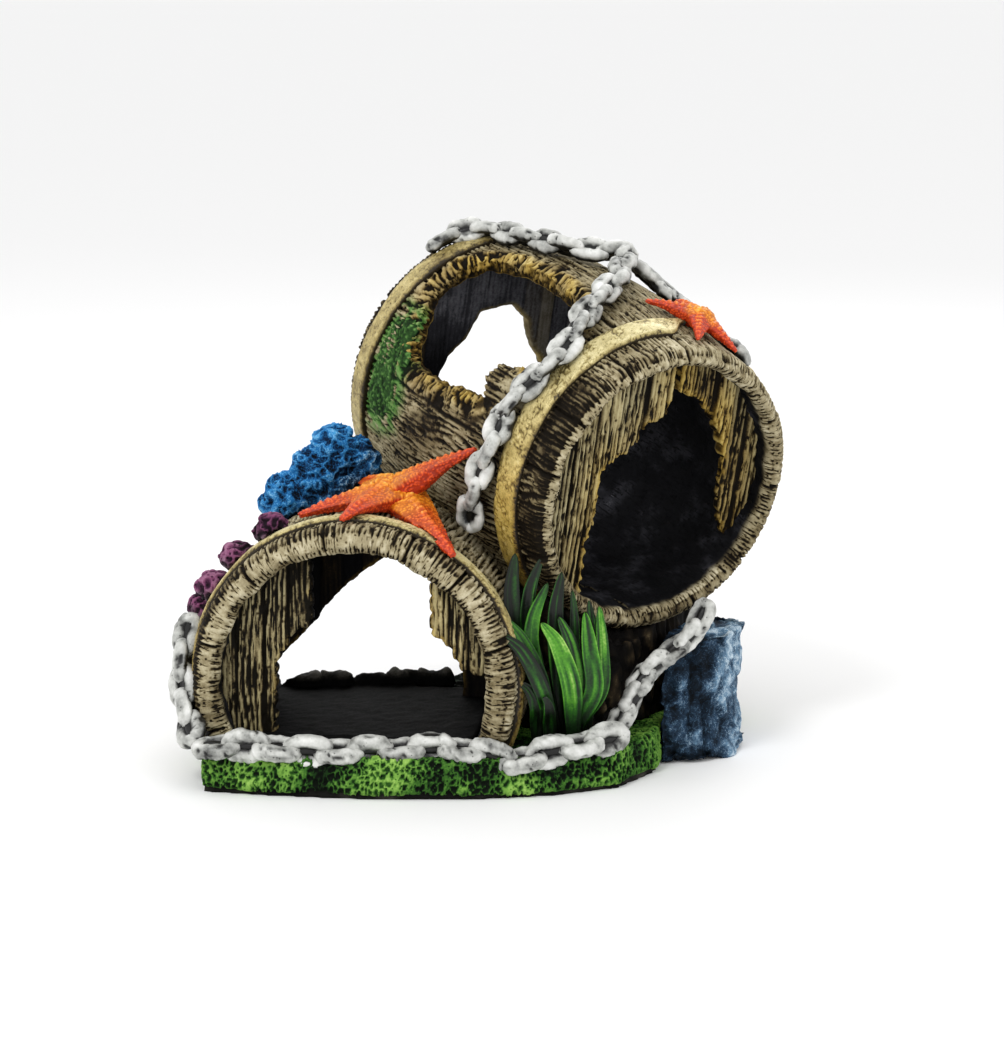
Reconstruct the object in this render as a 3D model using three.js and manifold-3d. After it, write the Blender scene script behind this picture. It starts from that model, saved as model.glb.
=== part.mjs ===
// An aquarium ornament of painted cast resin: a broken barrel leans on a rock over a half-buried
// barrel, dressed with chain, starfish, coral, leaves and moss. An air line at the back bubbles
// through a stone inside the upper barrel.
// Millimetres, +Z up, the front faces -Y.
import * as THREE from 'three';
import { mergeVertices } from 'three/addons/utils/BufferGeometryUtils.js';
import Module from 'manifold-3d';

const wasm = await Module();
wasm.setup();

const GAP = 0.3; // clearance between neighbouring pieces
const ROUND_SEGMENTS = 36; // round a barrel

// Barrels: each has its own frame, with its origin at the centre of the front rim, X to the
// right, Y back along the axis and Z up. The angle round a barrel is 0 at the top and grows
// towards the right.
const bigBarrel = {
  frontCentre: new THREE.Vector3(36.5, -18, 63),
  yaw: radians(33),
  tilt: radians(13.2),
  length: 82,
  frontRadius: 33.6,
  rearRadius: 35.2,
  bulge: 3.5,
  wall: 4.2,
};
const smallBarrel = {
  frontCentre: new THREE.Vector3(-33.3, -36, 22.5),
  yaw: radians(-8),
  tilt: 0,
  length: 52,
  frontRadius: 36,
  rearRadius: 36,
  bulge: 1.4,
  wall: 6,
};
const BULGE_SHARPNESS = 1.3; // how fast a barrel swells behind its rims
const HOOP_THICKNESS = 0.9;
const HOOP_FIT = 0.5; // from the wood to the inside of a hoop
const HOOP_SPACE = HOOP_FIT + HOOP_THICKNESS + GAP;
const HOOP_SETBACK = 7.5; // from the front rim of the big barrel to its hoop
const REAR_HOOP_SETBACK = 3.1;
const HOOP_WIDTH = 6.7;
const SMALL_HOOP_SETBACK = 4.2;
const SMALL_HOOP_WIDTH = 3.6;

// Base.
const SLAB_HEIGHT = 3.2;
const GRASS_TOP = 8.7;
const GROUND = GRASS_TOP + GAP; // where the barrels and rocks stand
const TUNNEL_FLOOR_TOP = GROUND + 1.4;
const BLUE_ROCK_HEIGHT = 29;
const PEDESTAL_TOP = 62; // before it is hollowed to fit the big barrel
const MOUND_SIDES = 24; // round the base and the rocks

// Broken head boards.
const BOARD_THICKNESS = 3;
const BOARD_SETBACK = 6; // from the rims of the big barrel to its head boards
const SMALL_BOARD_SETBACK = 5;
const SMALL_REAR_BOARD_SETBACK = 7;
const CUT_MARGIN = 2; // how far a cutting solid stands past what it cuts

const MOSS_THICKNESS = 1.3;

// Chain.
const LINK = { length: 8.8, width: 6, wire: 2.2, sides: 4, corners: 6 };
const LINK_PITCH = LINK.length - 1.3 * LINK.wire; // the ends of two links run into each other
const LINK_ROLL = radians(38); // links lean to one side and the other in turn

// Air line.
const AIR = {
  tubeOuter: 2.6,
  tubeBore: 1.2,
  stoneRadius: 6,
  stoneHeight: 7,
  flangeRadius: 5,
  flangeFace: 2.5,
  barbRadius: 3.1,
  waistRadius: 2.3,
  tipRadius: 2.1,
  barbLength: 11.5,
};

const COLOURS = {
  wood: 0x8f8358,
  gold: 0xd6c27a,
  core: 0x2e2418,
  interior: 0x1b191b,
  slab: 0x17160f,
  grass: 0x4c8f2b,
  chain: 0xcfcfcf,
  starfish: 0xea6a22,
  blueCoral: 0x2a78b5,
  mauveCoral: 0x7f5672,
  blueRock: 0x2b4866,
  leaf: 0x5aa72c,
  moss: 0x2f7031,
  plastic: 0x24282b,
  stone: 0x4d5459,
};

const placed = []; // every piece so far, with the space it keeps clear round itself
const model = new THREE.Group();

function radians(degrees) {
  return THREE.MathUtils.degToRad(degrees);
}

// ---- solids -----------------------------------------------------------------------------

function signedVolume(geometry) {
  const position = geometry.getAttribute('position');
  const index = geometry.index.array;
  const corner = [new THREE.Vector3(), new THREE.Vector3(), new THREE.Vector3()];
  let volume = 0;
  for (let i = 0; i < index.length; i += 3) {
    corner.forEach((point, k) => point.fromBufferAttribute(position, index[i + k]));
    volume += corner[0].dot(corner[1].clone().cross(corner[2])) / 6;
  }
  return volume;
}

// Turns a closed three.js geometry into a solid, with its faces pointing out.
function toSolid(geometry) {
  const bare = new THREE.BufferGeometry();
  bare.setAttribute('position', geometry.getAttribute('position').clone());
  if (geometry.index) bare.setIndex(geometry.index.clone());
  const merged = mergeVertices(bare, 1e-3);
  const corners = [];
  const index = merged.index.array;
  for (let i = 0; i < index.length; i += 3) {
    const [a, b, c] = [index[i], index[i + 1], index[i + 2]];
    if (a !== b && b !== c && c !== a) corners.push(a, b, c);
  }
  merged.setIndex(corners);
  if (signedVolume(merged) < 0) {
    for (let i = 0; i < corners.length; i += 3) {
      [corners[i], corners[i + 1]] = [corners[i + 1], corners[i]];
    }
  }
  return new wasm.Manifold(new wasm.Mesh({
    numProp: 3,
    vertProperties: new Float32Array(merged.getAttribute('position').array),
    triVerts: new Uint32Array(corners),
  }));
}

function toGeometry(solid) {
  const result = solid.getMesh();
  const geometry = new THREE.BufferGeometry();
  geometry.setAttribute('position', new THREE.BufferAttribute(result.vertProperties, 3));
  geometry.setIndex(new THREE.BufferAttribute(result.triVerts, 1));
  geometry.computeVertexNormals();
  return geometry;
}

function join(solids) {
  return solids.reduce((whole, solid) => whole.add(solid));
}

function largestPart(solid) {
  return solid.decompose().reduce((best, part) => (part.volume() > best.volume() ? part : best));
}

function boundsOf(solid) {
  return new THREE.Box3().setFromBufferAttribute(toGeometry(solid).getAttribute('position'));
}

// A slightly larger copy, used as the space to keep clear round an uneven piece.
function swollen(solid) {
  const geometry = toGeometry(solid);
  const box = boundsOf(solid);
  const centre = box.getCenter(new THREE.Vector3());
  const size = box.getSize(new THREE.Vector3());
  geometry.translate(-centre.x, -centre.y, -centre.z);
  geometry.scale(1 + (2 * GAP) / size.x, 1 + (2 * GAP) / size.y, 1 + (2 * GAP) / size.z);
  geometry.translate(centre.x, centre.y, centre.z);
  return toSolid(geometry);
}

// Adds a piece, cut clear of the pieces that are already there.
function place(name, colour, solid, { keepOut = null, roughness = 0.8, metalness = 0 } = {}) {
  const box = boundsOf(solid);
  let fitted = solid;
  for (const other of placed) {
    if (box.intersectsBox(other.box)) fitted = fitted.subtract(other.keepOut);
  }
  fitted = largestPart(fitted);
  const clear = keepOut ?? swollen(fitted);
  placed.push({ keepOut: clear, box: boundsOf(clear) });
  const material = new THREE.MeshStandardMaterial({ color: colour, roughness, metalness });
  const mesh = new THREE.Mesh(toGeometry(fitted), material);
  mesh.name = name;
  model.add(mesh);
}

// ---- shapes -----------------------------------------------------------------------------

// A repeatable bumpy value between -1 and 1 for a place in space.
function bumpAt(point, scale) {
  const x = point.x / scale;
  const y = point.y / scale;
  const z = point.z / scale;
  return (Math.sin(1.7 * x + 2.3 * y) + Math.sin(2.9 * y - 1.3 * z) + Math.sin(2.1 * z + 1.9 * x)) / 3;
}

function reshape(geometry, move) {
  const position = geometry.getAttribute('position');
  const point = new THREE.Vector3();
  for (let i = 0; i < position.count; i += 1) {
    point.fromBufferAttribute(position, i);
    move(point);
    position.setXYZ(i, point.x, point.y, point.z);
  }
  return geometry;
}

// A solid stretched along a curve: halfWidth and halfDepth give its size at each u from 0 to 1,
// and face is the direction that its broad side looks in.
function sweep(curve, face, halfWidth, halfDepth, sides = 6, steps = 5) {
  const geometry = new THREE.CylinderGeometry(1, 1, 1, sides, steps);
  const side = new THREE.Vector3();
  const front = new THREE.Vector3();
  return reshape(geometry, (point) => {
    const u = THREE.MathUtils.clamp(point.y + 0.5, 0, 1);
    const tangent = curve.getTangentAt(u);
    side.crossVectors(tangent, face).normalize();
    front.crossVectors(side, tangent).normalize();
    const centre = curve.getPointAt(u);
    centre.addScaledVector(side, point.x * halfWidth(u));
    centre.addScaledVector(front, point.z * halfDepth(u));
    point.copy(centre);
  });
}

function lump(centre, radii, bump, detail = 1) {
  const geometry = new THREE.IcosahedronGeometry(1, detail);
  reshape(geometry, (point) => {
    point.multiplyScalar(1 + bump * bumpAt(point, 0.35));
    point.multiply(radii).add(centre);
  });
  return toSolid(geometry);
}

// An upright solid on an outline, drawn in towards the top and roughened on its sides.
function mound(outline, bottom, top, { taper = 0, bump = 0, steps = 3 } = {}) {
  const corners = [...outline, outline[0]].map(([x, y]) => new THREE.Vector2(x, y));
  const points = new THREE.SplineCurve(corners).getSpacedPoints(MOUND_SIDES);
  points.pop();
  const geometry = new THREE.ExtrudeGeometry(new THREE.Shape(points), {
    depth: top - bottom,
    steps,
    bevelEnabled: false,
  });
  const middle = new THREE.Box2().setFromPoints(points).getCenter(new THREE.Vector2());
  reshape(geometry, (point) => {
    const up = point.z / (top - bottom);
    const scale = 1 - taper * up + bump * up * bumpAt(point, 7);
    point.x = middle.x + (point.x - middle.x) * scale;
    point.y = middle.y + (point.y - middle.y) * scale;
    point.z += bottom;
  });
  return toSolid(geometry);
}

// ---- barrels ----------------------------------------------------------------------------

function frameOf(barrel) {
  const holder = new THREE.Object3D();
  holder.position.copy(barrel.frontCentre);
  holder.rotation.set(barrel.tilt, 0, barrel.yaw, 'ZYX');
  holder.updateMatrix();
  return holder.matrix;
}

function outerRadius(barrel, depth) {
  const along = THREE.MathUtils.clamp(depth / barrel.length, 0, 1);
  const end = THREE.MathUtils.lerp(barrel.frontRadius, barrel.rearRadius, along);
  return end + barrel.bulge * Math.sin(Math.PI * along) ** BULGE_SHARPNESS;
}

function onBarrel(barrel, depth, degrees, height = 0) {
  const radius = outerRadius(barrel, depth) + height;
  const angle = radians(degrees);
  return new THREE.Vector3(radius * Math.sin(angle), depth, radius * Math.cos(angle))
    .applyMatrix4(frameOf(barrel));
}

function outwardFrom(barrel, point) {
  const local = point.clone().applyMatrix4(frameOf(barrel).clone().invert());
  local.y = 0;
  return local.normalize().transformDirection(frameOf(barrel));
}

// A ring round the barrel between two depths. The heights are measured from its outer face,
// and an inner height of null fills the ring to the axis.
function barrelRing(barrel, from, to, innerHeight, outerHeight, steps = 1) {
  const depths = Array.from({ length: steps + 1 }, (_, i) => from + ((to - from) * i) / steps);
  const outside = depths.map((y) => new THREE.Vector2(outerRadius(barrel, y) + outerHeight, y));
  const inside = innerHeight === null
    ? [new THREE.Vector2(0, to), new THREE.Vector2(0, from)]
    : depths.map((y) => new THREE.Vector2(outerRadius(barrel, y) + innerHeight, y)).reverse();
  const profile = [...outside, ...inside];
  profile.push(profile[0].clone());
  return toSolid(new THREE.LatheGeometry(profile, ROUND_SEGMENTS).applyMatrix4(frameOf(barrel)));
}

// A plate standing across the barrel, on an outline given as [right, up] from the axis.
function crossPlate(barrel, outline, depth, thickness) {
  const shape = new THREE.Shape(outline.map(([x, z]) => new THREE.Vector2(x, z)));
  const geometry = new THREE.ExtrudeGeometry(shape, { depth: thickness, bevelEnabled: false });
  geometry.rotateX(Math.PI / 2).translate(0, depth + thickness, 0);
  return toSolid(geometry.applyMatrix4(frameOf(barrel)));
}

// A block cut through one side of the wall, on an outline given as [depth, degrees].
function wallBlock(barrel, outline, { middleDepth, middleDegrees, innerRadius, outerRadius: reach }) {
  const radius = outerRadius(barrel, middleDepth);
  const shape = new THREE.Shape(outline.map(([depth, degrees]) => new THREE.Vector2(
    radius * Math.sin(radians(degrees - middleDegrees)),
    depth - middleDepth,
  )));
  const geometry = new THREE.ExtrudeGeometry(shape, { depth: reach - innerRadius, bevelEnabled: false });
  geometry.translate(0, 0, innerRadius).rotateY(radians(middleDegrees)).translate(0, middleDepth, 0);
  return toSolid(geometry.applyMatrix4(frameOf(barrel)));
}

// The hollow of the barrel, up to a small gap from its wall.
function hollowOf(barrel) {
  return barrelRing(barrel, 0, barrel.length, null, -barrel.wall - 2 * GAP, 6);
}

// Everything within the wall's outer face, its hoops and a small gap.
function fullBarrel(barrel, hoops) {
  const body = barrelRing(barrel, -GAP, barrel.length + GAP, null, GAP, 6);
  return join([body, ...hoops.map(([from, to]) => (
    barrelRing(barrel, from - GAP, to + GAP, null, HOOP_SPACE)))]);
}

// A head across the barrel with an opening broken in it.
function rearHeadOf(barrel, depth, opening) {
  const cutter = crossPlate(barrel, opening, depth - CUT_MARGIN, BOARD_THICKNESS + 2 * CUT_MARGIN);
  return barrelRing(barrel, depth, depth + BOARD_THICKNESS, null, -barrel.wall - 3 * GAP)
    .subtract(cutter);
}

function halfSpaceAbove(height) {
  const size = 400;
  const box = new THREE.BoxGeometry(size, size, size).translate(0, 0, height + size / 2);
  return toSolid(box);
}

const bigHoops = [
  [HOOP_SETBACK, HOOP_SETBACK + HOOP_WIDTH],
  [bigBarrel.length - REAR_HOOP_SETBACK - HOOP_WIDTH, bigBarrel.length - REAR_HOOP_SETBACK],
];
const smallHoops = [
  [SMALL_HOOP_SETBACK, SMALL_HOOP_SETBACK + SMALL_HOOP_WIDTH],
  [
    smallBarrel.length - SMALL_HOOP_SETBACK - SMALL_HOOP_WIDTH,
    smallBarrel.length - SMALL_HOOP_SETBACK,
  ],
];
const bigBarrelSpace = fullBarrel(bigBarrel, bigHoops);
const smallBarrelSpace = fullBarrel(smallBarrel, smallHoops);
const aboveGround = halfSpaceAbove(GROUND);

// ---- base -------------------------------------------------------------------------------

const baseOutline = [
  [-66, -41], [-40, -46], [-13, -47.5], [12, -44], [30, -35], [35, -24], [38, -9], [47, 4], [56, 14],
  [57, 28], [49, 44], [24, 53], [-2, 48], [-14, 26], [-36, 20], [-62, 17], [-67, -8],
];

function placeBase() {
  place('base_slab', COLOURS.slab, mound(baseOutline, 0, SLAB_HEIGHT, { steps: 1 }));
  const turf = mound(baseOutline, SLAB_HEIGHT + GAP, GRASS_TOP, { taper: 0.02, bump: 0.01, steps: 2 });
  place('grass_bank', COLOURS.grass, turf);
}

// The trodden floor of the tunnel, with a lumpy lip along its back edge.
function placeTunnelFloor() {
  const inside = -smallBarrel.wall - 2 * GAP;
  const floor = barrelRing(smallBarrel, 3, smallBarrel.length - 1, null, inside)
    .intersect(halfSpaceAbove(GROUND))
    .subtract(halfSpaceAbove(TUNNEL_FLOOR_TOP));
  const lip = new THREE.LineCurve3(
    new THREE.Vector3(-47, 13.5, TUNNEL_FLOOR_TOP),
    new THREE.Vector3(-16, 17.5, TUNNEL_FLOOR_TOP),
  );
  const lumps = lip.getPoints(4).map((centre) => lump(centre, new THREE.Vector3(5.4, 2.6, 2.2), 0.15));
  const whole = join([floor, ...lumps]).intersect(aboveGround);
  place('tunnel_floor', COLOURS.core, whole.subtract(smallWallSpace()));
}

function smallWallSpace() {
  const { length, wall } = smallBarrel;
  return barrelRing(smallBarrel, -GAP, length + GAP, -wall - GAP, GAP, 4);
}

// ---- small barrel -----------------------------------------------------------------------

// What is left of its head boards, and the opening in its rear head, as [right, up].
const smallHeadBoards = {
  small_head_left: [
    [-40, -20], [-19, -20], [-19, -12], [-18, 4], [-14, 11], [-10, 13], [-10, 40], [-40, 40],
  ],
  small_head_right: [[17, 40], [17, 12], [21, 9], [24, 3.5], [27.5, 2.5], [40, 2.5], [40, 40]],
};
const smallRearOpening = [
  [-40, -40], [-40, -8], [-28.5, -7], [-24, -2.3], [-19, 2.7], [-12, 11.4], [-6, 16.7], [1, 21.5],
  [10, 23.5], [17, 20], [20, 8], [18.5, -6], [18.5, -40],
];

function placeSmallBarrel() {
  const { length, wall } = smallBarrel;
  const shell = barrelRing(smallBarrel, 0, length, -wall, 0, 4).intersect(aboveGround);
  place('small_barrel_shell', COLOURS.wood, shell, { keepOut: smallWallSpace() });
  const names = ['small_front_hoop', 'small_rear_hoop'];
  smallHoops.forEach(([from, to], i) => {
    const band = barrelRing(smallBarrel, from, to, HOOP_FIT, HOOP_FIT + HOOP_THICKNESS);
    const hoop = band.intersect(aboveGround);
    const space = barrelRing(smallBarrel, from - GAP, to + GAP, 0, HOOP_SPACE);
    place(names[i], COLOURS.gold, hoop, { keepOut: space, roughness: 0.5, metalness: 0.3 });
  });
  for (const [name, outline] of Object.entries(smallHeadBoards)) {
    const plate = crossPlate(smallBarrel, outline, SMALL_BOARD_SETBACK, BOARD_THICKNESS);
    place(name, COLOURS.wood, plate.intersect(hollowOf(smallBarrel)).intersect(aboveGround));
  }
}

function placeSmallRearHead() {
  const depth = smallBarrel.length - SMALL_REAR_BOARD_SETBACK - BOARD_THICKNESS;
  const head = rearHeadOf(smallBarrel, depth, smallRearOpening);
  const standing = head.intersect(halfSpaceAbove(TUNNEL_FLOOR_TOP + GAP));
  place('small_rear_head', COLOURS.interior, standing);
}

// ---- big barrel -------------------------------------------------------------------------

// The hole broken in the upper left side, with a shard still standing at its lower front.
const sideHole = [
  [43, -70], [58, -69], [62, -59], [67, -47], [69, -35], [68, -26], [64, -18], [55, -11], [42, -11],
  [30, -14], [21, -26], [18.5, -40], [21.5, -49], [29.5, -51], [30.5, -60], [28, -66], [36.5, -66],
];
const frontLeftBoards = [
  [3, 40], [3, 21.5], [2, 15.5], [-3, 13.5], [-4, 10], [-7.5, 7], [-11, 5.5], [-13.5, 4], [-13.5, -8],
  [-15, -13], [-15, -40], [-40, -40], [-40, 40],
];
const frontRightBoards = [
  [3.6, 40], [5, 21.5], [11, 19.5], [15, 15], [19, 9], [26, 5], [21, 3], [21.5, -5], [23, -12.5],
  [25.5, -17], [40, -17], [40, 40],
];
const rearOpening = [
  [-16, 1.7], [-13.5, 7.5], [-9, 11.5], [-7.2, 15], [-5.8, 18], [-1, 19.3], [4.2, 19], [8.3, 15],
  [9.8, 10], [12.8, 6], [16.5, 0], [17, -6], [10, -13], [-2, -14], [-11, -10], [-15, -4],
];

function placeBigBarrel() {
  const { length, wall } = bigBarrel;
  const hole = { middleDepth: 44, middleDegrees: -42, innerRadius: 14, outerRadius: 46 };
  const shell = barrelRing(bigBarrel, 0, length, -wall, 0, 6)
    .subtract(wallBlock(bigBarrel, sideHole, hole))
    .subtract(airTubeSolid(AIR.tubeOuter + GAP, 0));
  const wallSpace = barrelRing(bigBarrel, -GAP, length + GAP, -wall - GAP, GAP, 6);
  place('big_barrel_shell', COLOURS.wood, shell, { keepOut: wallSpace });
  const names = ['big_front_hoop', 'big_rear_hoop'];
  bigHoops.forEach(([from, to], i) => {
    const hoop = barrelRing(bigBarrel, from, to, HOOP_FIT, HOOP_FIT + HOOP_THICKNESS);
    const space = barrelRing(bigBarrel, from - GAP, to + GAP, 0, HOOP_SPACE);
    place(names[i], COLOURS.gold, hoop, { keepOut: space, roughness: 0.5, metalness: 0.3 });
  });
  const hollow = hollowOf(bigBarrel);
  const boards = { front_head_left: frontLeftBoards, front_head_right: frontRightBoards };
  for (const [name, outline] of Object.entries(boards)) {
    const plate = crossPlate(bigBarrel, outline, BOARD_SETBACK, BOARD_THICKNESS);
    place(name, COLOURS.wood, plate.intersect(hollow));
  }
  const rearDepth = length - BOARD_SETBACK - BOARD_THICKNESS;
  place('rear_head', COLOURS.interior, rearHeadOf(bigBarrel, rearDepth, rearOpening));
}

// ---- rocks ------------------------------------------------------------------------------

const pedestalOutline = [
  [-3, -14], [8, -23], [24, -22], [34, -11], [43, 3], [49, 22], [44, 40], [24, 48], [3, 45], [-8, 32],
  [-6, 16],
];
const blueRockOutline = [
  [36, -19], [46, -18], [54, -10], [57, -2], [56, 9], [51, 12], [42, 0], [36, -12],
];

function placeBlueRock() {
  const rock = mound(blueRockOutline, 0, BLUE_ROCK_HEIGHT, { taper: 0.05, bump: 0.06 });
  place('blue_rock', COLOURS.blueRock, rock.subtract(bigBarrelSpace), { roughness: 0.7 });
}

// The rock between and below the barrels, hollowed to fit them.
function placePedestal() {
  const rock = mound(pedestalOutline, GROUND, PEDESTAL_TOP, { taper: 0.08, bump: 0.06, steps: 5 });
  place('rock_pedestal', COLOURS.core, rock.subtract(bigBarrelSpace).subtract(smallBarrelSpace));
}

// ---- air line ---------------------------------------------------------------------------

const stoneSeat = { depth: 58, degrees: 165 };

function airPath() {
  const seat = onBarrel(bigBarrel, stoneSeat.depth, stoneSeat.degrees, -bigBarrel.wall - GAP);
  return new THREE.CatmullRomCurve3([
    new THREE.Vector3(seat.x + 8, 46, 19),
    new THREE.Vector3(seat.x + 6, 40, 19.5),
    new THREE.Vector3(seat.x + 1.5, 35.5, 26),
    new THREE.Vector3(seat.x, seat.y, seat.z - 8),
    new THREE.Vector3(seat.x, seat.y, seat.z),
  ]);
}

// The rigid tube from the inlet to the stone; a bore of 0 makes it solid.
function airTubeSolid(outer, bore) {
  const shape = new THREE.Shape().absarc(0, 0, outer, 0, 2 * Math.PI);
  if (bore > 0) shape.holes.push(new THREE.Path().absarc(0, 0, bore, 0, 2 * Math.PI, true));
  return toSolid(new THREE.ExtrudeGeometry(shape, { extrudePath: airPath(), steps: 10, curveSegments: 4 }));
}

// The hose barb, turned about the line of the inlet: flange, waist and two barbs.
function barbSolid(extra) {
  const start = airPath().getPointAt(0);
  const { flangeFace, barbLength } = AIR;
  const bore = extra > 0 ? 0 : AIR.tubeBore;
  const flange = AIR.flangeRadius + extra;
  const waist = AIR.waistRadius + extra;
  const barb = AIR.barbRadius + extra;
  const profile = [
    [bore, GAP], [flange, GAP - extra], [flange, flangeFace + extra], [waist, flangeFace + extra],
    [waist, 4.5], [barb, 5], [waist, 8], [barb, 8.4], [AIR.tipRadius + extra, barbLength],
    [bore, barbLength], [bore, GAP],
  ].map(([x, y]) => new THREE.Vector2(x, y));
  const geometry = new THREE.LatheGeometry(profile, 12);
  return toSolid(geometry.translate(start.x, start.y, start.z));
}

function placeAirLine() {
  place('air_inlet_barb', COLOURS.plastic, barbSolid(0), { keepOut: barbSolid(GAP), roughness: 0.5 });
  const tube = airTubeSolid(AIR.tubeOuter, AIR.tubeBore);
  place('air_tube', COLOURS.plastic, tube, { keepOut: airTubeSolid(AIR.tubeOuter + GAP, 0) });
  const top = airPath().getPointAt(1);
  const { stoneRadius, stoneHeight } = AIR;
  const profile = [
    [0, GAP], [stoneRadius, GAP], [stoneRadius, stoneHeight - 2], [stoneRadius - 1.5, stoneHeight],
    [0, stoneHeight + 0.6],
  ].map(([x, y]) => new THREE.Vector2(x, y));
  const stone = new THREE.LatheGeometry(profile, 18).rotateX(Math.PI / 2);
  stone.translate(top.x, top.y, top.z + 1.6);
  place('air_stone', COLOURS.stone, toSolid(stone), { roughness: 1 });
}

// ---- starfish, coral, moss and leaves ---------------------------------------------------

function starfish(centre, face, tips, { rootWidth, thickness, lift }) {
  const arms = tips.map((tip) => {
    const middle = centre.clone().lerp(tip, 0.55).addScaledVector(face, lift);
    const curve = new THREE.CatmullRomCurve3([centre, middle, tip]);
    const width = (u) => rootWidth * (1 - 0.85 * u ** 1.1);
    const depth = (u) => thickness * (1 - 0.75 * u);
    return toSolid(sweep(curve, face, width, depth, 5, 3));
  });
  const hub = lump(centre, new THREE.Vector3(rootWidth, rootWidth, thickness * 1.1), 0);
  return join([hub, ...arms]);
}

function placeStarfish() {
  const centre = onBarrel(smallBarrel, 22, 9, 2.6);
  const tips = [
    onBarrel(smallBarrel, 12, -21, 1.8),
    onBarrel(smallBarrel, 1.5, -3, 1.6),
    onBarrel(smallBarrel, 1, 37, 1.8),
    new THREE.Vector3(-5.8, -22.5, 73.5),
    onBarrel(smallBarrel, 40, -8, 2.2),
  ];
  const large = { rootWidth: 6.4, thickness: 3.2, lift: 0.8 };
  const up = new THREE.Vector3(0, 0, 1);
  const wide = { ...large, rootWidth: large.rootWidth + 2 * GAP, thickness: large.thickness + 2 * GAP };
  const keepOut = starfish(centre, up, tips, wide);
  place('starfish_large', COLOURS.starfish, starfish(centre, up, tips, large), { keepOut });
  const smallCentre = onBarrel(bigBarrel, 13, 19, 2.6);
  const smallTips = [
    onBarrel(bigBarrel, 21, 4, 1.9),
    onBarrel(bigBarrel, 3, 8, 1.5),
    onBarrel(bigBarrel, 2, 26, 1.5),
    onBarrel(bigBarrel, 14, 36, 1.9),
    onBarrel(bigBarrel, 25, 22, 1.9),
  ];
  const face = outwardFrom(bigBarrel, smallCentre);
  const small = { rootWidth: 3.4, thickness: 2.2, lift: 0.5 };
  place('starfish_small', COLOURS.starfish, starfish(smallCentre, face, smallTips, small));
}

function placeCoral() {
  const lobes = [
    [[-49, 2, 58], [7, 6, 6.5]], [[-43, 3, 63], [6.5, 6, 7]], [[-38.5, 4, 68.5], [6, 5.5, 6.5]],
    [[-33.5, 5, 66], [5.5, 5, 6.5]], [[-38, 4, 59], [9, 7, 6]], [[-30, 6, 59], [5, 5, 5]],
  ].map(([centre, radii]) => lump(new THREE.Vector3(...centre), new THREE.Vector3(...radii), 0.14));
  place('blue_coral', COLOURS.blueCoral, join(lobes).subtract(smallBarrelSpace));
  const knobs = [[-31, 11], [-46, 11], [-60, 12], [-68, 13]];
  knobs.forEach(([degrees, depth], i) => {
    const centre = onBarrel(smallBarrel, depth, degrees, 1.6);
    const knob = lump(centre, new THREE.Vector3(4.2, 5, 3.5), 0.16);
    place(`mauve_coral_${i + 1}`, COLOURS.mauveCoral, knob.subtract(smallBarrelSpace));
  });
}

function placeMoss() {
  const outline = [[63, -55], [75, -55], [75, -94], [66, -98], [59, -93], [57, -82], [59.5, -70]];
  const block = { middleDepth: 66, middleDegrees: -76, innerRadius: 26, outerRadius: 44 };
  const skin = barrelRing(bigBarrel, 44, bigHoops[1][0] - GAP, GAP, MOSS_THICKNESS, 3);
  place('moss_patch', COLOURS.moss, skin.intersect(wallBlock(bigBarrel, outline, block)));
}

// Each leaf is [root, tip, how far its middle bows out].
const leafClumps = {
  leaf_clump_front: [
    [[12, -33], [8.4, -36, 36], 3], [[15, -33], [13, -36.5, 37.5], 3], [[18, -32], [18, -36, 39], 3],
    [[20.5, -31], [22, -35, 41], 2.5], [[9, -32.5], [4, -37, 24], 3],
  ],
  leaf_clump_left: [
    [[9, -30], [-1, -33, 38], 3], [[7.5, -31.5], [-1.5, -36, 31], 3], [[12, -29], [3, -31, 44], 2.5],
  ],
  leaf_clump_rear: [
    [[13, -27.5], [9, -29, 50], 2], [[16.5, -28], [14.5, -30, 50], 2], [[20, -27.5], [20.5, -31, 44], 2],
  ],
};

function leafClump(leaves, extra) {
  const towardsViewer = new THREE.Vector3(0.1, -1, 0.35).normalize();
  const blades = leaves.map(([root, tip, bow]) => {
    const from = new THREE.Vector3(...root, GROUND);
    const to = new THREE.Vector3(...tip);
    const middle = from.clone().lerp(to, 0.55).addScaledVector(towardsViewer, bow);
    const curve = new THREE.CatmullRomCurve3([from, middle, to]);
    const width = (u) => 0.5 + 1.9 * Math.sin(Math.PI * (0.2 + 0.75 * u)) + extra;
    return toSolid(sweep(curve, towardsViewer, width, () => 0.9 + extra, 4, 4));
  });
  const [x, y] = leaves[0][0];
  const radii = new THREE.Vector3(6, 3, 3).addScalar(extra);
  const root = lump(new THREE.Vector3(x, y + 0.5, GROUND + 1), radii, 0.1);
  return join([root, ...blades]).intersect(aboveGround);
}

function placeLeaves() {
  for (const [name, leaves] of Object.entries(leafClumps)) {
    place(name, COLOURS.leaf, leafClump(leaves, 0), { keepOut: leafClump(leaves, 2 * GAP) });
  }
}

// ---- chains -----------------------------------------------------------------------------

function linkGeometry() {
  const { length, width, wire, sides, corners } = LINK;
  const half = (length - width) / 2;
  const ring = new THREE.TorusGeometry((width - wire) / 2, wire / 2, sides, corners);
  ring.rotateZ(Math.PI / corners);
  return reshape(ring, (point) => {
    point.x += Math.sign(point.x) * half;
  });
}

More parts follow.
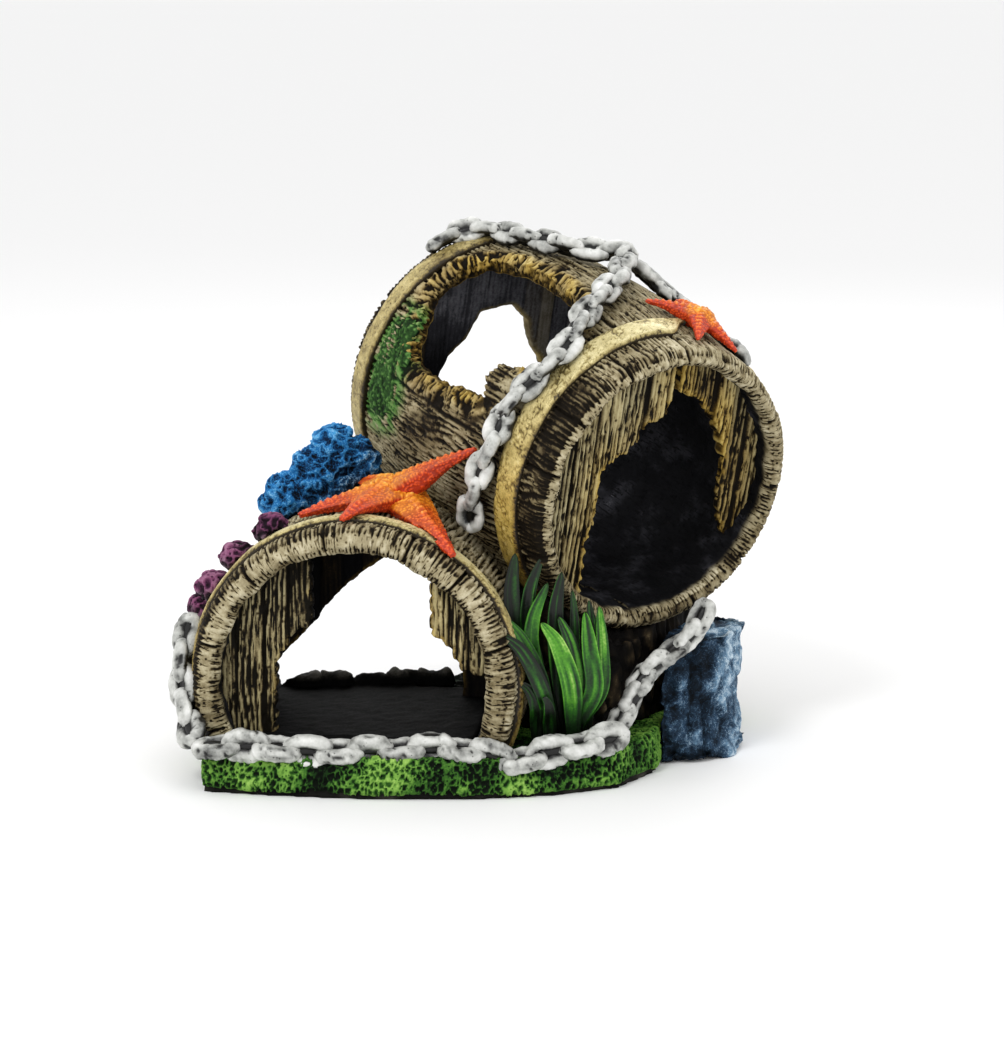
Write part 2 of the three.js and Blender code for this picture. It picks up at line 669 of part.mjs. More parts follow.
// Links strung along a line of points. faceAt gives the direction that the chain looks in.
function chainSolid(points, faceAt) {
  const curve = new THREE.CatmullRomCurve3(points);
  const count = Math.ceil(curve.getLength() / LINK_PITCH);
  const links = Array.from({ length: count }, (_, i) => {
    const u = (i + 0.5) / count;
    const centre = curve.getPointAt(u);
    const along = curve.getTangentAt(u);
    const across = new THREE.Vector3().crossVectors(faceAt(centre), along).normalize();
    const out = new THREE.Vector3().crossVectors(along, across);
    const turn = new THREE.Matrix4().makeBasis(along, across, out);
    const geometry = linkGeometry().rotateX(i % 2 ? LINK_ROLL : -LINK_ROLL);
    return toSolid(geometry.applyMatrix4(turn).translate(centre.x, centre.y, centre.z));
  });
  return join(links);
}

// Runs over the big barrel, as depth, degrees and height above the staves. The first two meet in a
// raised heap of links.
const overTheTop = [
  [80.5, -27, 2], [79.5, -16, 2.6], [75, -8, 2.8], [66.5, -4, 2.8], [58.6, 0, 2.9], [51, 5, 3.2],
  [47.5, 12, 4.6], [47, 19, 6.3],
];
const drape = [
  [44, 18, 6.3], [38, 10, 4.2], [30, 1, 3.5], [22.7, -14, 3.3], [18.8, -24, 3.3], [14, -36, 3.3],
  [14, -50, 3.3], [15.8, -63, 3.3], [15.2, -73, 3.3], [16.3, -82, 3.3], [17.5, -91, 3.3],
  [19.2, -101, 3.3], [19.3, -107, 3.3],
];
const shoulder = [
  [46, 27, 4.8], [41, 33, 2.8], [34.5, 38, 1.9], [26, 42, 1.8], [17, 43, 2], [10, 42, 2],
];

function placeChains() {
  const overBarrel = (spots) => spots.map((spot) => onBarrel(bigBarrel, ...spot));
  const fromBarrel = (point) => outwardFrom(bigBarrel, point);
  place('chain_top', COLOURS.chain, chainSolid(overBarrel(overTheTop), fromBarrel));
  place('chain_drape', COLOURS.chain, chainSolid(overBarrel(drape), fromBarrel));
  place('chain_shoulder', COLOURS.chain, chainSolid(overBarrel(shoulder), fromBarrel));
  const frontRun = [
    [-66, -41, 9.8], [-56, -42, 10.8], [-44, -43, 9.8], [-30, -43.5, 9.8], [-15, -43, 10.4],
    [-4, -43.5, 9.4], [2, -44, 7.6], [10, -42.5, 9.4], [20, -39, 10.6], [26, -35.5, 11.2],
  ];
  const right = [
    [25.5, -31, 12], [29, -27, 17], [32, -24, 22], [38, -21.5, 27], [43, -20, 31], [46, -19, 37],
  ];
  const flank = [[-70, -22, 34], [-71.5, -23, 27], [-71.5, -26, 20], [-70, -31, 14], [-68.5, -36.5, 11]];
  const runs = {
    chain_base: [frontRun, new THREE.Vector3(0, -0.8, 0.6)],
    chain_right: [right, new THREE.Vector3(0.2, -1, 0.3)],
    chain_flank: [flank, new THREE.Vector3(-1, -0.4, 0.2)],
  };
  for (const [name, [points, face]] of Object.entries(runs)) {
    const line = points.map((point) => new THREE.Vector3(...point));
    place(name, COLOURS.chain, chainSolid(line, () => face.clone().normalize()));
  }
}

placeBlueRock();
placeBase();
placeSmallBarrel();
placeBigBarrel();
placeSmallRearHead();
placeTunnelFloor();
placeAirLine();
placePedestal();
placeChains();
placeStarfish();
placeCoral();
placeMoss();
placeLeaves();

// The origin is the middle of the footprint, on the ground.
const extent = new THREE.Box3().setFromObject(model);
const middle = extent.getCenter(new THREE.Vector3());
model.position.set(-middle.x, -middle.y, -extent.min.z);

export default model;
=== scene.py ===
"""Looks of an aquarium ornament of painted cast resin: two broken barrels with chain, starfish,
coral and leaves. Lengths are in millimetres until a mesh is made; angles are in degrees."""

import math

import bpy
import numpy as np
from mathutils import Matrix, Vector


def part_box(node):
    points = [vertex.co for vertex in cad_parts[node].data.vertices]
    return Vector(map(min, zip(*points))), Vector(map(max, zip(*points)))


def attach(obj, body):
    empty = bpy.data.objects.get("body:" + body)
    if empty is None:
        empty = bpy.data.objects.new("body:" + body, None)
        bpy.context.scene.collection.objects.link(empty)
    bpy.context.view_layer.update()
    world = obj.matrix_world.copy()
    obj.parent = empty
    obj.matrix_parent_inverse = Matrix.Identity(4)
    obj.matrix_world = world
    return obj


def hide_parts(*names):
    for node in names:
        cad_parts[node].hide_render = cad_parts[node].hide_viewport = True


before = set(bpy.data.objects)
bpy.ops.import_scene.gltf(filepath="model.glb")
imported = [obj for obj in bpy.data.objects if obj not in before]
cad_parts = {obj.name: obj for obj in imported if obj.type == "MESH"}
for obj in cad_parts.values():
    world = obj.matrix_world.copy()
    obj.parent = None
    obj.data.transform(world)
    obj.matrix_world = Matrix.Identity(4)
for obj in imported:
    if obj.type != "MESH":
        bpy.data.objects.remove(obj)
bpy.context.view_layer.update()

MM = 0.001
SHIFT = np.array([4.655, -10.568, 0.0])  # from the design's own origin to the row frame
TURF = 8.7
TURF_BOTTOM = 1.4
EMBED = 0.4  # how far a visual piece sinks into the one that carries it
FIELD_SPAN = 400.0  # the stretch of grain, in mm, that a field from 0 to 1 covers
FAR = 99.0  # a distance for points that are nowhere near
BUMP_HEIGHT = 0.4


# ---- noise ------------------------------------------------------------------------------


def hashed(cell, seed):
    """A repeatable random value from 0 to 1 for each whole-number place."""
    mixed = cell[..., 0] * 374761393 + cell[..., 1] * 668265263 + cell[..., 2] * 1440662683
    mixed = (mixed + seed * 1274126177) & 0xFFFFFFFF
    mixed = ((mixed ^ (mixed >> 13)) * 1274126177) & 0xFFFFFFFF
    return ((mixed ^ (mixed >> 16)) & 0xFFFFFF) / 0xFFFFFF


def value_of(number, seed):
    """A repeatable random value from 0 to 1 for each whole number."""
    return hashed(np.stack([number, number * 0, number * 0], -1), seed)


def noise(points, scale, seed=0):
    """Smooth noise from -1 to 1; scale is the size of its lumps, one number or three."""
    place = np.asarray(points) / scale
    base = np.floor(place).astype(np.int64)
    part = place - base
    part = part * part * (3 - 2 * part)
    total = np.zeros(len(place))
    for corner in np.ndindex(2, 2, 2):
        weight = np.prod(np.where(np.array(corner, bool), part, 1 - part), axis=1)
        total += weight * hashed(base + np.array(corner), seed)
    return 2 * total - 1


def rough(points, scale, seed=0, octaves=3):
    """Noise with finer and finer lumps added."""
    scale = np.asarray(scale, float)
    return sum(noise(points, scale * 0.5**k, seed + k) * 0.5**k for k in range(octaves))


def scattered(points, scale, seed=0):
    """Distances to the nearest two of many scattered spots, in cells, and the nearest's own value."""
    place = np.asarray(points) / scale
    base = np.floor(place).astype(np.int64)
    nearest = np.full(len(place), 9.0)
    second = nearest.copy()
    value = np.zeros(len(place))
    for step in np.ndindex(3, 3, 3):
        cell = base + (np.array(step) - 1)
        spot = cell + np.stack([hashed(cell, seed + k) for k in range(3)], axis=1)
        distance = np.linalg.norm(place - spot, axis=1)
        closer = distance < nearest
        second = np.where(closer, nearest, np.minimum(second, distance))
        value = np.where(closer, hashed(cell, seed + 3), value)
        nearest = np.where(closer, distance, nearest)
    return nearest, second, value


def ramp(value, low, high):
    """0 at low and 1 at high, smooth between them; low may be the larger."""
    share = np.clip((value - low) / (high - low), 0, 1)
    return share * share * (3 - 2 * share)


def mix(a, b, share):
    """A at a share of 0 and b at 1."""
    return a + (b - a) * share


def share_of(values):
    """Each value's share of the way from the least to the most."""
    return (values - values.min()) / np.ptp(values)


def grain_fields(across, along):
    """Where each point is across and along the wood, for the fine lines in the paint."""
    return {"across": across / FIELD_SPAN + 0.5, "along": along / FIELD_SPAN + 0.5}


def line_noise(values, size, seed):
    """Noise along one direction."""
    values = np.asarray(values, float)
    places = np.stack([values, np.full_like(values, 0.37), np.full_like(values, 0.61)], 1)
    return noise(places, (size, 1, 1), seed)


# ---- outlines ---------------------------------------------------------------------------


def walked(outline, pitch):
    """A closed outline in even steps, with its corners eased, and how far along each step is."""
    corners = np.array([*outline, outline[0]], float)
    along = np.r_[0, np.cumsum(np.linalg.norm(np.diff(corners, axis=0), axis=1))]
    steps = np.linspace(0, along[-1], int(along[-1] / pitch), endpoint=False)
    points = np.stack([np.interp(steps, along, corners[:, k]) for k in range(2)], 1)
    for _ in range(3):
        points = (np.roll(points, 1, 0) + 2 * points + np.roll(points, -1, 0)) / 4
    return points, steps


def jagged(outline, pitch, wobble):
    """A closed outline made uneven: wobble gives the outward shift for each distance along."""
    points, steps = walked(outline, pitch)
    tangent = np.roll(points, -1, 0) - np.roll(points, 1, 0)
    tangent /= np.linalg.norm(tangent, axis=1)[:, None] + 1e-9
    return points + np.stack([tangent[:, 1], -tangent[:, 0]], 1) * wobble(steps)[:, None]


def to_outline(points, outline):
    """Distance to an outline, nearest place on it, how far along that is, and if it is inside."""
    start, end = outline, np.roll(outline, -1, 0)
    edge = end - start
    length = np.linalg.norm(edge, axis=1)
    before = np.r_[0, np.cumsum(length)[:-1]]
    parts = []
    for chunk in np.array_split(points, max(1, len(points) // 3000)):
        offset = chunk[:, None] - start
        share = np.clip((offset * edge).sum(-1) / np.maximum(length**2, 1e-12), 0, 1)
        spot = start + share[..., None] * edge
        gap = np.linalg.norm(chunk[:, None] - spot, axis=-1)
        pick = gap.argmin(1)
        row = np.arange(len(chunk))
        x, y = chunk[:, :1], chunk[:, 1:]
        straddles = (start[:, 1] > y) != (end[:, 1] > y)
        rise = np.where(np.abs(edge[:, 1]) < 1e-9, 1e-9, edge[:, 1])
        left = x < start[:, 0] + edge[:, 0] * (y - start[:, 1]) / rise
        inside = (straddles & left).sum(1) % 2 == 1
        along = before[pick] + share[row, pick] * length[pick]
        parts.append((gap[row, pick], spot[row, pick], along, inside))
    return [np.concatenate(part) for part in zip(*parts)]


# ---- meshes -----------------------------------------------------------------------------


def corner_count(marked):
    """How many of each cell's four corners are marked."""
    marked = marked.astype(int)
    return marked[:-1, :-1] + marked[:-1, 1:] + marked[1:, 1:] + marked[1:, :-1]


def rim_of(keep, outside=False):
    """Grid points between a kept cell and one that isn't; outside says how cells beyond count."""
    padded = np.pad(keep, 1, constant_values=outside)
    around = [padded[:-1, :-1], padded[:-1, 1:], padded[1:, 1:], padded[1:, :-1]]
    return (np.logical_or.reduce(around) & ~np.logical_and.reduce(around)).ravel()


def without_pinches(keep):
    """Fills quads so that kept ones never touch at a corner only."""
    for _ in range(3):
        a, b, c, d = keep[:-1, :-1], keep[:-1, 1:], keep[1:, 1:], keep[1:, :-1]
        b |= a & c & ~d
        a |= b & d & ~c
    return keep


def slab(front, back, keep, wrap=False, strips=4):
    """Closes two matching grids of points into one solid. Also gives, for each point, the grid
    place that it comes from and its share of the way from front to back."""
    rows, columns = front.shape[:2]
    index = np.arange(rows * columns).reshape(rows, columns)
    if wrap:
        beside = np.roll(index, -1, axis=1)
        corners = [index[:-1], beside[:-1], beside[1:], index[1:]]
    else:
        corners = [index[:-1, :-1], index[:-1, 1:], index[1:, 1:], index[1:, :-1]]
    quads = np.stack(corners, -1)[keep]
    count = rows * columns
    starts, ends = quads.ravel(), np.roll(quads, -1, axis=1).ravel()
    open_edge = ~np.isin(starts * count + ends, ends * count + starts)
    starts, ends = starts[open_edge], ends[open_edge]
    rim = np.unique(starts)
    place = np.zeros(count, int)
    place[rim] = np.arange(len(rim))
    shares = np.linspace(0, 1, strips + 2)[1:-1]
    front, back = front.reshape(-1, 3), back.reshape(-1, 3)
    between = mix(front[rim][:, None], back[rim][:, None], shares[:, None])

    def level(corner, k):
        if k == 0:
            return corner
        return corner + count if k == strips + 1 else 2 * count + place[corner] * strips + k - 1

    walls = [
        np.stack([level(ends, k), level(starts, k), level(starts, k + 1), level(ends, k + 1)], 1)
        for k in range(strips + 1)
    ]
    faces = np.concatenate([quads, quads[:, ::-1] + count, *walls])
    points = np.concatenate([front, back, between.reshape(-1, 3)])
    origin = np.concatenate([np.arange(count), np.arange(count), np.repeat(rim, strips)])
    share = np.concatenate([np.zeros(count), np.ones(count), np.tile(shares, len(rim))])
    used, faces = np.unique(faces, return_inverse=True)
    return points[used], faces.reshape(-1, 4), origin[used], share[used]


def normals_of(points, faces):
    """Smooth outward directions of a mesh of triangles or quads."""
    a, b, c = (points[faces[:, k]] for k in range(3))
    facing = np.cross(b - a, c - a)
    if faces.shape[1] == 4:
        facing = facing + np.cross(c - a, points[faces[:, 3]] - a)
    total = np.zeros_like(points)
    for k in range(faces.shape[1]):
        for axis in range(3):
            total[:, axis] += np.bincount(faces[:, k], facing[:, axis], len(points))
    return total / (np.linalg.norm(total, axis=1)[:, None] + 1e-12)


def volume_of(points, faces):
    """Six times a closed mesh's volume: negative if its faces look inward."""
    a, b, c = (points[faces[:, k]] for k in range(3))
    total = (a * np.cross(b, c)).sum()
    if faces.shape[1] == 4:
        total += (a * np.cross(c, points[faces[:, 3]])).sum()
    return total


def add_piece(name, node, look, points, faces, **fields):
    """Makes a piece that stands for a CAD node, with its painted fields as attributes."""
    if volume_of(points, faces) < 0:
        faces = faces[:, ::-1]
    points[:, 2] = np.maximum(points[:, 2], 0)
    mesh = bpy.data.meshes.new(name)
    mesh.from_pydata((points * MM).tolist(), [], faces.tolist())
    for field, values in fields.items():
        layer = mesh.attributes.new(field, "FLOAT", "POINT")
        layer.data.foreach_set("value", np.clip(values, 0, 1).astype(np.float32))
    mesh.shade_smooth()
    mesh.materials.append(look.material)
    piece = bpy.data.objects.new(name, mesh)
    bpy.context.scene.collection.objects.link(piece)
    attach(piece, "root")
    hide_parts(node)


def remeshed(node, pitch, smoothing):
    """Points and faces of a copy of a CAD node with an even, smoothed mesh."""
    copy = bpy.data.objects.new("work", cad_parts[node].data.copy())
    bpy.context.scene.collection.objects.link(copy)
    remesh = copy.modifiers.new("even", "REMESH")
    remesh.mode = "VOXEL"
    remesh.voxel_size = pitch * MM
    smooth = copy.modifiers.new("smooth", "SMOOTH")
    smooth.factor = 0.5
    smooth.iterations = smoothing
    depsgraph = bpy.context.evaluated_depsgraph_get()
    mesh = bpy.data.meshes.new_from_object(copy.evaluated_get(depsgraph))
    points = np.empty(len(mesh.vertices) * 3, np.float32)
    mesh.vertices.foreach_get("co", points)
    corners = np.empty(len(mesh.loops), np.int32)
    mesh.loops.foreach_get("vertex_index", corners)
    bpy.data.objects.remove(copy)
    return points.reshape(-1, 3).astype(float) / MM, corners.reshape(-1, 4).astype(int)


def raised(points, faces, height):
    return points + normals_of(points, faces) * height[:, None]


def curve_through(points, count):
    """Even steps along a smooth curve through some points, with its tangents."""
    points = np.array(points, float)
    padded = np.vstack([2 * points[0] - points[1], points, 2 * points[-1] - points[-2]])
    share = np.linspace(0, 1, 24, endpoint=False)[:, None]
    runs = []
    for a, b, c, d in zip(padded, padded[1:], padded[2:], padded[3:]):
        runs.append(0.5 * (2 * b + (c - a) * share + (2 * a - 5 * b + 4 * c - d) * share**2
                           + (3 * b - a - 3 * c + d) * share**3))
    line = np.vstack([*runs, points[-1:]])
    along = np.r_[0, np.cumsum(np.linalg.norm(np.diff(line, axis=0), axis=1))]
    steps = np.linspace(0, along[-1], count)
    even = np.stack([np.interp(steps, along, line[:, k]) for k in range(3)], 1)
    tangent = np.gradient(even, axis=0)
    return even, tangent / np.linalg.norm(tangent, axis=1)[:, None]


def length_of(points):
    line, _ = curve_through(points, 400)
    return np.linalg.norm(np.diff(line, axis=0), axis=1).sum()


def unit(vector):
    vector = np.asarray(vector, float)
    return vector / np.linalg.norm(vector, axis=-1, keepdims=True)


def rings(side, other, count):
    """A circle of unit directions in each plane of two directions at right angles."""
    turn = np.linspace(0, 2 * np.pi, count, endpoint=False)[None, :, None]
    return np.cos(turn) * side + np.sin(turn) * other


def loop_faces(steps, sides):
    """Faces of a closed loop of closed rings of points."""
    index = np.arange(steps * sides).reshape(steps, sides)
    beside, below = np.roll(index, -1, axis=1), np.roll(index, -1, axis=0)
    return np.stack([index, beside, np.roll(beside, -1, axis=0), below], -1).reshape(-1, 4)


def tube_faces(steps, sides):
    """Faces of a tube of rings of points, closed at both ends."""
    index = np.arange(steps * sides).reshape(steps, sides)
    beside = np.roll(index, -1, axis=1)
    faces = np.stack([index[:-1], beside[:-1], beside[1:], index[1:]], -1).reshape(-1, 4)
    caps = []
    for row in (index[0], index[-1][::-1]):
        for k in range(sides // 2 - 1):
            caps.append([row[k], row[sides - 1 - k], row[sides - 2 - k], row[k + 1]])
    return np.concatenate([faces, np.array(caps)[:, ::-1]])


def joined(parts):
    """Several closed meshes as one list of points, faces and levels."""
    points, faces, levels, count = [], [], [], 0
    for part_points, part_faces, level in parts:
        if volume_of(part_points, part_faces) < 0:
            part_faces = part_faces[:, ::-1]
        points.append(part_points)
        faces.append(part_faces + count)
        levels.append(level)
        count += len(part_points)
    return np.concatenate(points), np.concatenate(faces), np.concatenate(levels)


# ---- materials --------------------------------------------------------------------------


def paint(code):
    """A screen colour such as "B5A97D" as linear light."""
    parts = [int(code[k : k + 2], 16) / 255 for k in (0, 2, 4)]
    return [p / 12.92 if p < 0.04045 else ((p + 0.055) / 1.055) ** 2.4 for p in parts] + [1.0]


class Look:
    """A node material of paint whose colour follows the height of the surface: a dark wash in low
    places and dry-brushed colour on high ones, broken up by speckle, pits, scratches and veins.
    Sizes are in mm. Pits are (spacing, radius as a share of it, depth of paint), scratches are
    (width, length, share of the surface, depth of paint) and veins are (spacing, width, paint).
    Slot names the record's material slot, where that isn't the look's own name; the look stores it and
    nothing in the script uses it."""

    def __init__(self, name, stops, slot=None, speckle=0.3, grain=0.4, roughness=(0.6, 0.85),
                 bump=0.5, gloss=0.1, metal=0.0, pits=None, scratches=None, veins=None):
        self.slot = slot or name
        self.material = bpy.data.materials.new(name)
        self.material.use_nodes = True
        self.nodes = self.material.node_tree.nodes
        self.links = self.material.node_tree.links
        self.shader = self.nodes["Principled BSDF"]
        self.shader.inputs["Specular IOR Level"].default_value = gloss
        self.shader.inputs["Metallic"].default_value = metal
        self.place = self.nodes.new("ShaderNodeTexCoord").outputs["Object"]
        fine = self.noise(grain, 6)
        broad = self.noise(grain * 8, 3)
        detail = self.maths("ADD", self.scaled(fine, speckle), self.scaled(broad, speckle))
        if pits:
            detail = self.maths("SUBTRACT", detail, self.pits(*pits))
        if scratches:
            detail = self.maths("SUBTRACT", detail, self.scratches(*scratches))
        if veins:
            detail = self.maths("ADD", detail, self.veins(*veins))
        self.level = self.maths("ADD", self.field("height"), detail)
        self.show(self.ramp(stops))
        self.links.new(self.band(fine, 0.2, 0.8, *roughness), self.shader.inputs["Roughness"])
        relief = self.nodes.new("ShaderNodeBump")
        relief.inputs["Strength"].default_value = bump
        relief.inputs["Distance"].default_value = BUMP_HEIGHT * MM
        self.links.new(detail, relief.inputs["Height"])
        self.links.new(relief.outputs["Normal"], self.shader.inputs["Normal"])

    def show(self, colour):
        self.colour = colour
        self.links.new(colour, self.shader.inputs["Base Color"])

    def pits(self, spacing, radius, depth):
        """Dark dots round scattered spots."""
        node = self.nodes.new("ShaderNodeTexVoronoi")
        node.inputs["Scale"].default_value = 1 / (spacing * MM)
        self.links.new(self.place, node.inputs["Vector"])
        near = self.band(node.outputs["Distance"], radius + 0.1, radius - 0.05)
        return self.maths("MULTIPLY", near, depth)

    def scratches(self, width, length, share, depth):
        """Dark dashes drawn out along the grain."""
        join = self.nodes.new("ShaderNodeCombineXYZ")
        for socket, field, size in zip(join.inputs, ("across", "along"), (width, length)):
            self.links.new(self.maths("MULTIPLY", self.field(field), FIELD_SPAN / size), socket)
        node = self.nodes.new("ShaderNodeTexNoise")
        node.inputs["Scale"].default_value = 1
        node.inputs["Detail"].default_value = 3
        self.links.new(join.outputs["Vector"], node.inputs["Vector"])
        lines = self.band(node.outputs["Fac"], 0.33 + share, 0.25 + share)
        return self.maths("MULTIPLY", lines, depth)

    def veins(self, spacing, width, paint_depth):
        """Thin lines where a slow noise passes its middle."""
        away = self.maths("ABSOLUTE", self.maths("SUBTRACT", self.noise(spacing, 3), 0.5), 0.0)
        return self.maths("MULTIPLY", self.band(away, width, width * 0.4), paint_depth)

    def noise(self, size, detail):
        """Noise from 0 to 1 with lumps of a size, and this many finer ones on them."""
        node = self.nodes.new("ShaderNodeTexNoise")
        node.inputs["Scale"].default_value = 1 / (size * MM)
        node.inputs["Detail"].default_value = detail
        node.inputs["Roughness"].default_value = 0.6
        self.links.new(self.place, node.inputs["Vector"])
        return node.outputs["Fac"]

    def band(self, value, low, high, least=0.0, most=1.0):
        """Least at low and most at high, straight between them; low may be the larger."""
        node = self.nodes.new("ShaderNodeMapRange")
        for socket, limit in zip(("From Min", "From Max", "To Min", "To Max"), (low, high, least, most)):
            node.inputs[socket].default_value = limit
        self.links.new(value, node.inputs["Value"])
        return node.outputs["Result"]

    def field(self, name):
        """What a piece's mesh carries under this name."""
        node = self.nodes.new("ShaderNodeAttribute")
        node.attribute_name = name
        return node.outputs["Fac"]

    def maths(self, kind, a, b):
        """One step of arithmetic on two values, each a socket or a number."""
        node = self.nodes.new("ShaderNodeMath")
        node.operation = kind
        for socket, value in zip(node.inputs, (a, b)):
            if isinstance(value, (int, float)):
                socket.default_value = value
            else:
                self.links.new(value, socket)
        return node.outputs[0]

    def scaled(self, value, amount):
        """Noise from 0 to 1 as a shift of up to half the amount either way."""
        return self.maths("MULTIPLY", self.maths("SUBTRACT", value, 0.5), amount)

    def ramp(self, stops):
        """The paint at the surface's level, from (level, colour) stops."""
        node = self.nodes.new("ShaderNodeValToRGB")
        elements = node.color_ramp.elements
        while len(elements) < len(stops):
            elements.new(0.5)
        for element, (place, code) in zip(elements, stops):
            element.position = place
            element.color = paint(code)
        self.links.new(self.level, node.inputs["Fac"])
        return node.outputs["Color"]

    def over(self, field, stops):
        """Adds a second paint, shown where its field is 1."""
        node = self.nodes.new("ShaderNodeMix")
        node.data_type = "RGBA"
        self.links.new(self.field(field), node.inputs["Factor"])
        self.links.new(self.colour, node.inputs["A"])
        self.links.new(self.ramp(stops), node.inputs["B"])
        self.show(node.outputs["Result"])
        return self


WOOD = [(0.14, "120D06"), (0.28, "3B3120"), (0.42, "776B4E"), (0.62, "A59A7B"), (0.9, "D6CDB0")]
TORN = [(0.14, "120C04"), (0.32, "4B3912"), (0.5, "8E7334"), (0.74, "BCA257"), (0.95, "DCC988")]
INSIDE = [(0.1, "08080A"), (0.5, "141417"), (0.75, "37373C"), (0.97, "77777D")]
MOSS = [(0.12, "0D1A0A"), (0.3, "27491F"), (0.5, "4D7A36"), (0.85, "8FA56A")]
BOARDS = [(0.14, "100D07"), (0.28, "3A3120"), (0.43, "7C7152"), (0.66, "AAA07B"), (0.95, "CEC6A4")]
GOLD = [(0.1, "2B2210"), (0.28, "80703F"), (0.48, "C0B178"), (0.72, "E6DAA6"), (0.95, "FCF6D8")]
OCHRE = [(0.1, "1C1304"), (0.28, "5C451A"), (0.48, "9A7E34"), (0.72, "CDB15C"), (0.95, "F4E6A8")]
CORE = [(0.18, "070504"), (0.45, "1A150E"), (0.7, "3A3022"), (0.95, "73664B")]
STONE = [(0.2, "060606"), (0.5, "12110F"), (0.75, "34322D"), (0.97, "6B6861")]
TURF_PAINT = [(0.15, "040C03"), (0.3, "16330F"), (0.46, "3B6824"), (0.68, "78A546"), (0.95, "AFD270")]
SILVER = [(0.1, "0A0A09"), (0.27, "353534"), (0.42, "838480"), (0.62, "BFC0BB"), (0.92, "EDEDEA")]
ORANGE = [(0.12, "641405"), (0.34, "B9330D"), (0.6, "E7561B"), (0.95, "FF9A58")]
YELLOW = [(0.12, "93400A"), (0.34, "DB7D14"), (0.6, "F6AE34"), (0.95, "FFDC84")]
BLUE = [(0.12, "03070D"), (0.3, "0B2A4C"), (0.5, "1F69A8"), (0.75, "4C9FD6"), (0.95, "93CBEE")]
NAVY = [(0.12, "030507"), (0.42, "081421"), (0.66, "22415C"), (0.92, "B4CEDD")]
MAUVE = [(0.12, "160A13"), (0.34, "4B2640"), (0.56, "7F4768"), (0.9, "B58AA2")]
ASH = [(0.12, "0B0A0B"), (0.4, "2E292D"), (0.66, "61575F"), (0.92, "9C9298")]
SLATE = [(0.14, "04080C"), (0.32, "13202D"), (0.5, "2B4056"), (0.68, "6686A0"), (0.9, "D2E2EC")]
LEAF = [(0.14, "030A02"), (0.33, "0B2A07"), (0.5, "215A0E"), (0.7, "4F9420"), (0.94, "B4D873")]
MOSSY = [(0.12, "0C1A0A"), (0.3, "2B4B21"), (0.52, "557F3F"), (0.85, "96B673")]

wood = Look("barrel_wood", WOOD, speckle=0.3, grain=0.45, pits=(1.5, 0.16, 0.35),
            scratches=(0.5, 3.4, 0.11, 0.34))
wood.over("inside", INSIDE).over("torn", TORN).over("moss", MOSS)
boards = Look("broken_boards", BOARDS, speckle=0.3, grain=0.45, pits=(2.0, 0.14, 0.3),
              scratches=(0.5, 5.5, 0.13, 0.42))
boards.over("inside", INSIDE).over("torn", TORN)
rear_boards = Look("rear_boards", BOARDS, slot="dark_interior", speckle=0.3, grain=0.45)
rear_boards.over("inside", INSIDE).over("torn", TORN)
gold = Look("hoop_gold", GOLD, speckle=0.24, grain=0.35, roughness=(0.34, 0.55), gloss=0.45,
            metal=0.2, pits=(1.3, 0.07, 0.25), veins=(0.9, 0.012, -0.3))
gold.over("ochre", OCHRE)
core = Look("dark_core", CORE, speckle=0.4)
stone = Look("dark_stone", STONE, slot="dark_core", speckle=0.4, grain=0.5)
slab_paint = Look("base_dark", STONE, speckle=0.2)
turf = Look("grass", TURF_PAINT, speckle=0.3, grain=0.4, pits=(0.9, 0.2, 0.25))
silver = Look("chain_white", SILVER, speckle=0.24, grain=0.6, roughness=(0.3, 0.5), gloss=0.4,
              pits=(1.5, 0.06, 0.3))
orange = Look("starfish_orange", ORANGE, speckle=0.2, grain=0.3, roughness=(0.35, 0.5), gloss=0.4)
orange.over("centre", YELLOW)
blue = Look("coral_blue", BLUE, speckle=0.3, grain=0.35, veins=(0.9, 0.03, 0.3))
blue.over("shaded", NAVY)
mauve = Look("coral_mauve", ASH, speckle=0.35, grain=0.35, pits=(1.1, 0.22, 0.3))
mauve.over("centre", MAUVE)
rock = Look("rock_blue", SLATE, speckle=0.35, grain=0.45, veins=(1.3, 0.012, 0.24))
leaf = Look("leaf_green", LEAF, speckle=0.3, grain=0.5, roughness=(0.32, 0.5), gloss=0.35)
moss = Look("moss_green", MOSSY, speckle=0.4, grain=0.35)
plastic = Look("air_plastic", STONE, speckle=0.25, grain=1.2, roughness=(0.28, 0.42), bump=0.08,
               gloss=0.5)
mineral = Look("air_stone", [(0.1, "1A1D20"), (0.5, "4B5257"), (0.9, "8B9296")], speckle=0.6,
               grain=0.5, roughness=(0.85, 0.98))


# ---- barrels ----------------------------------------------------------------------------


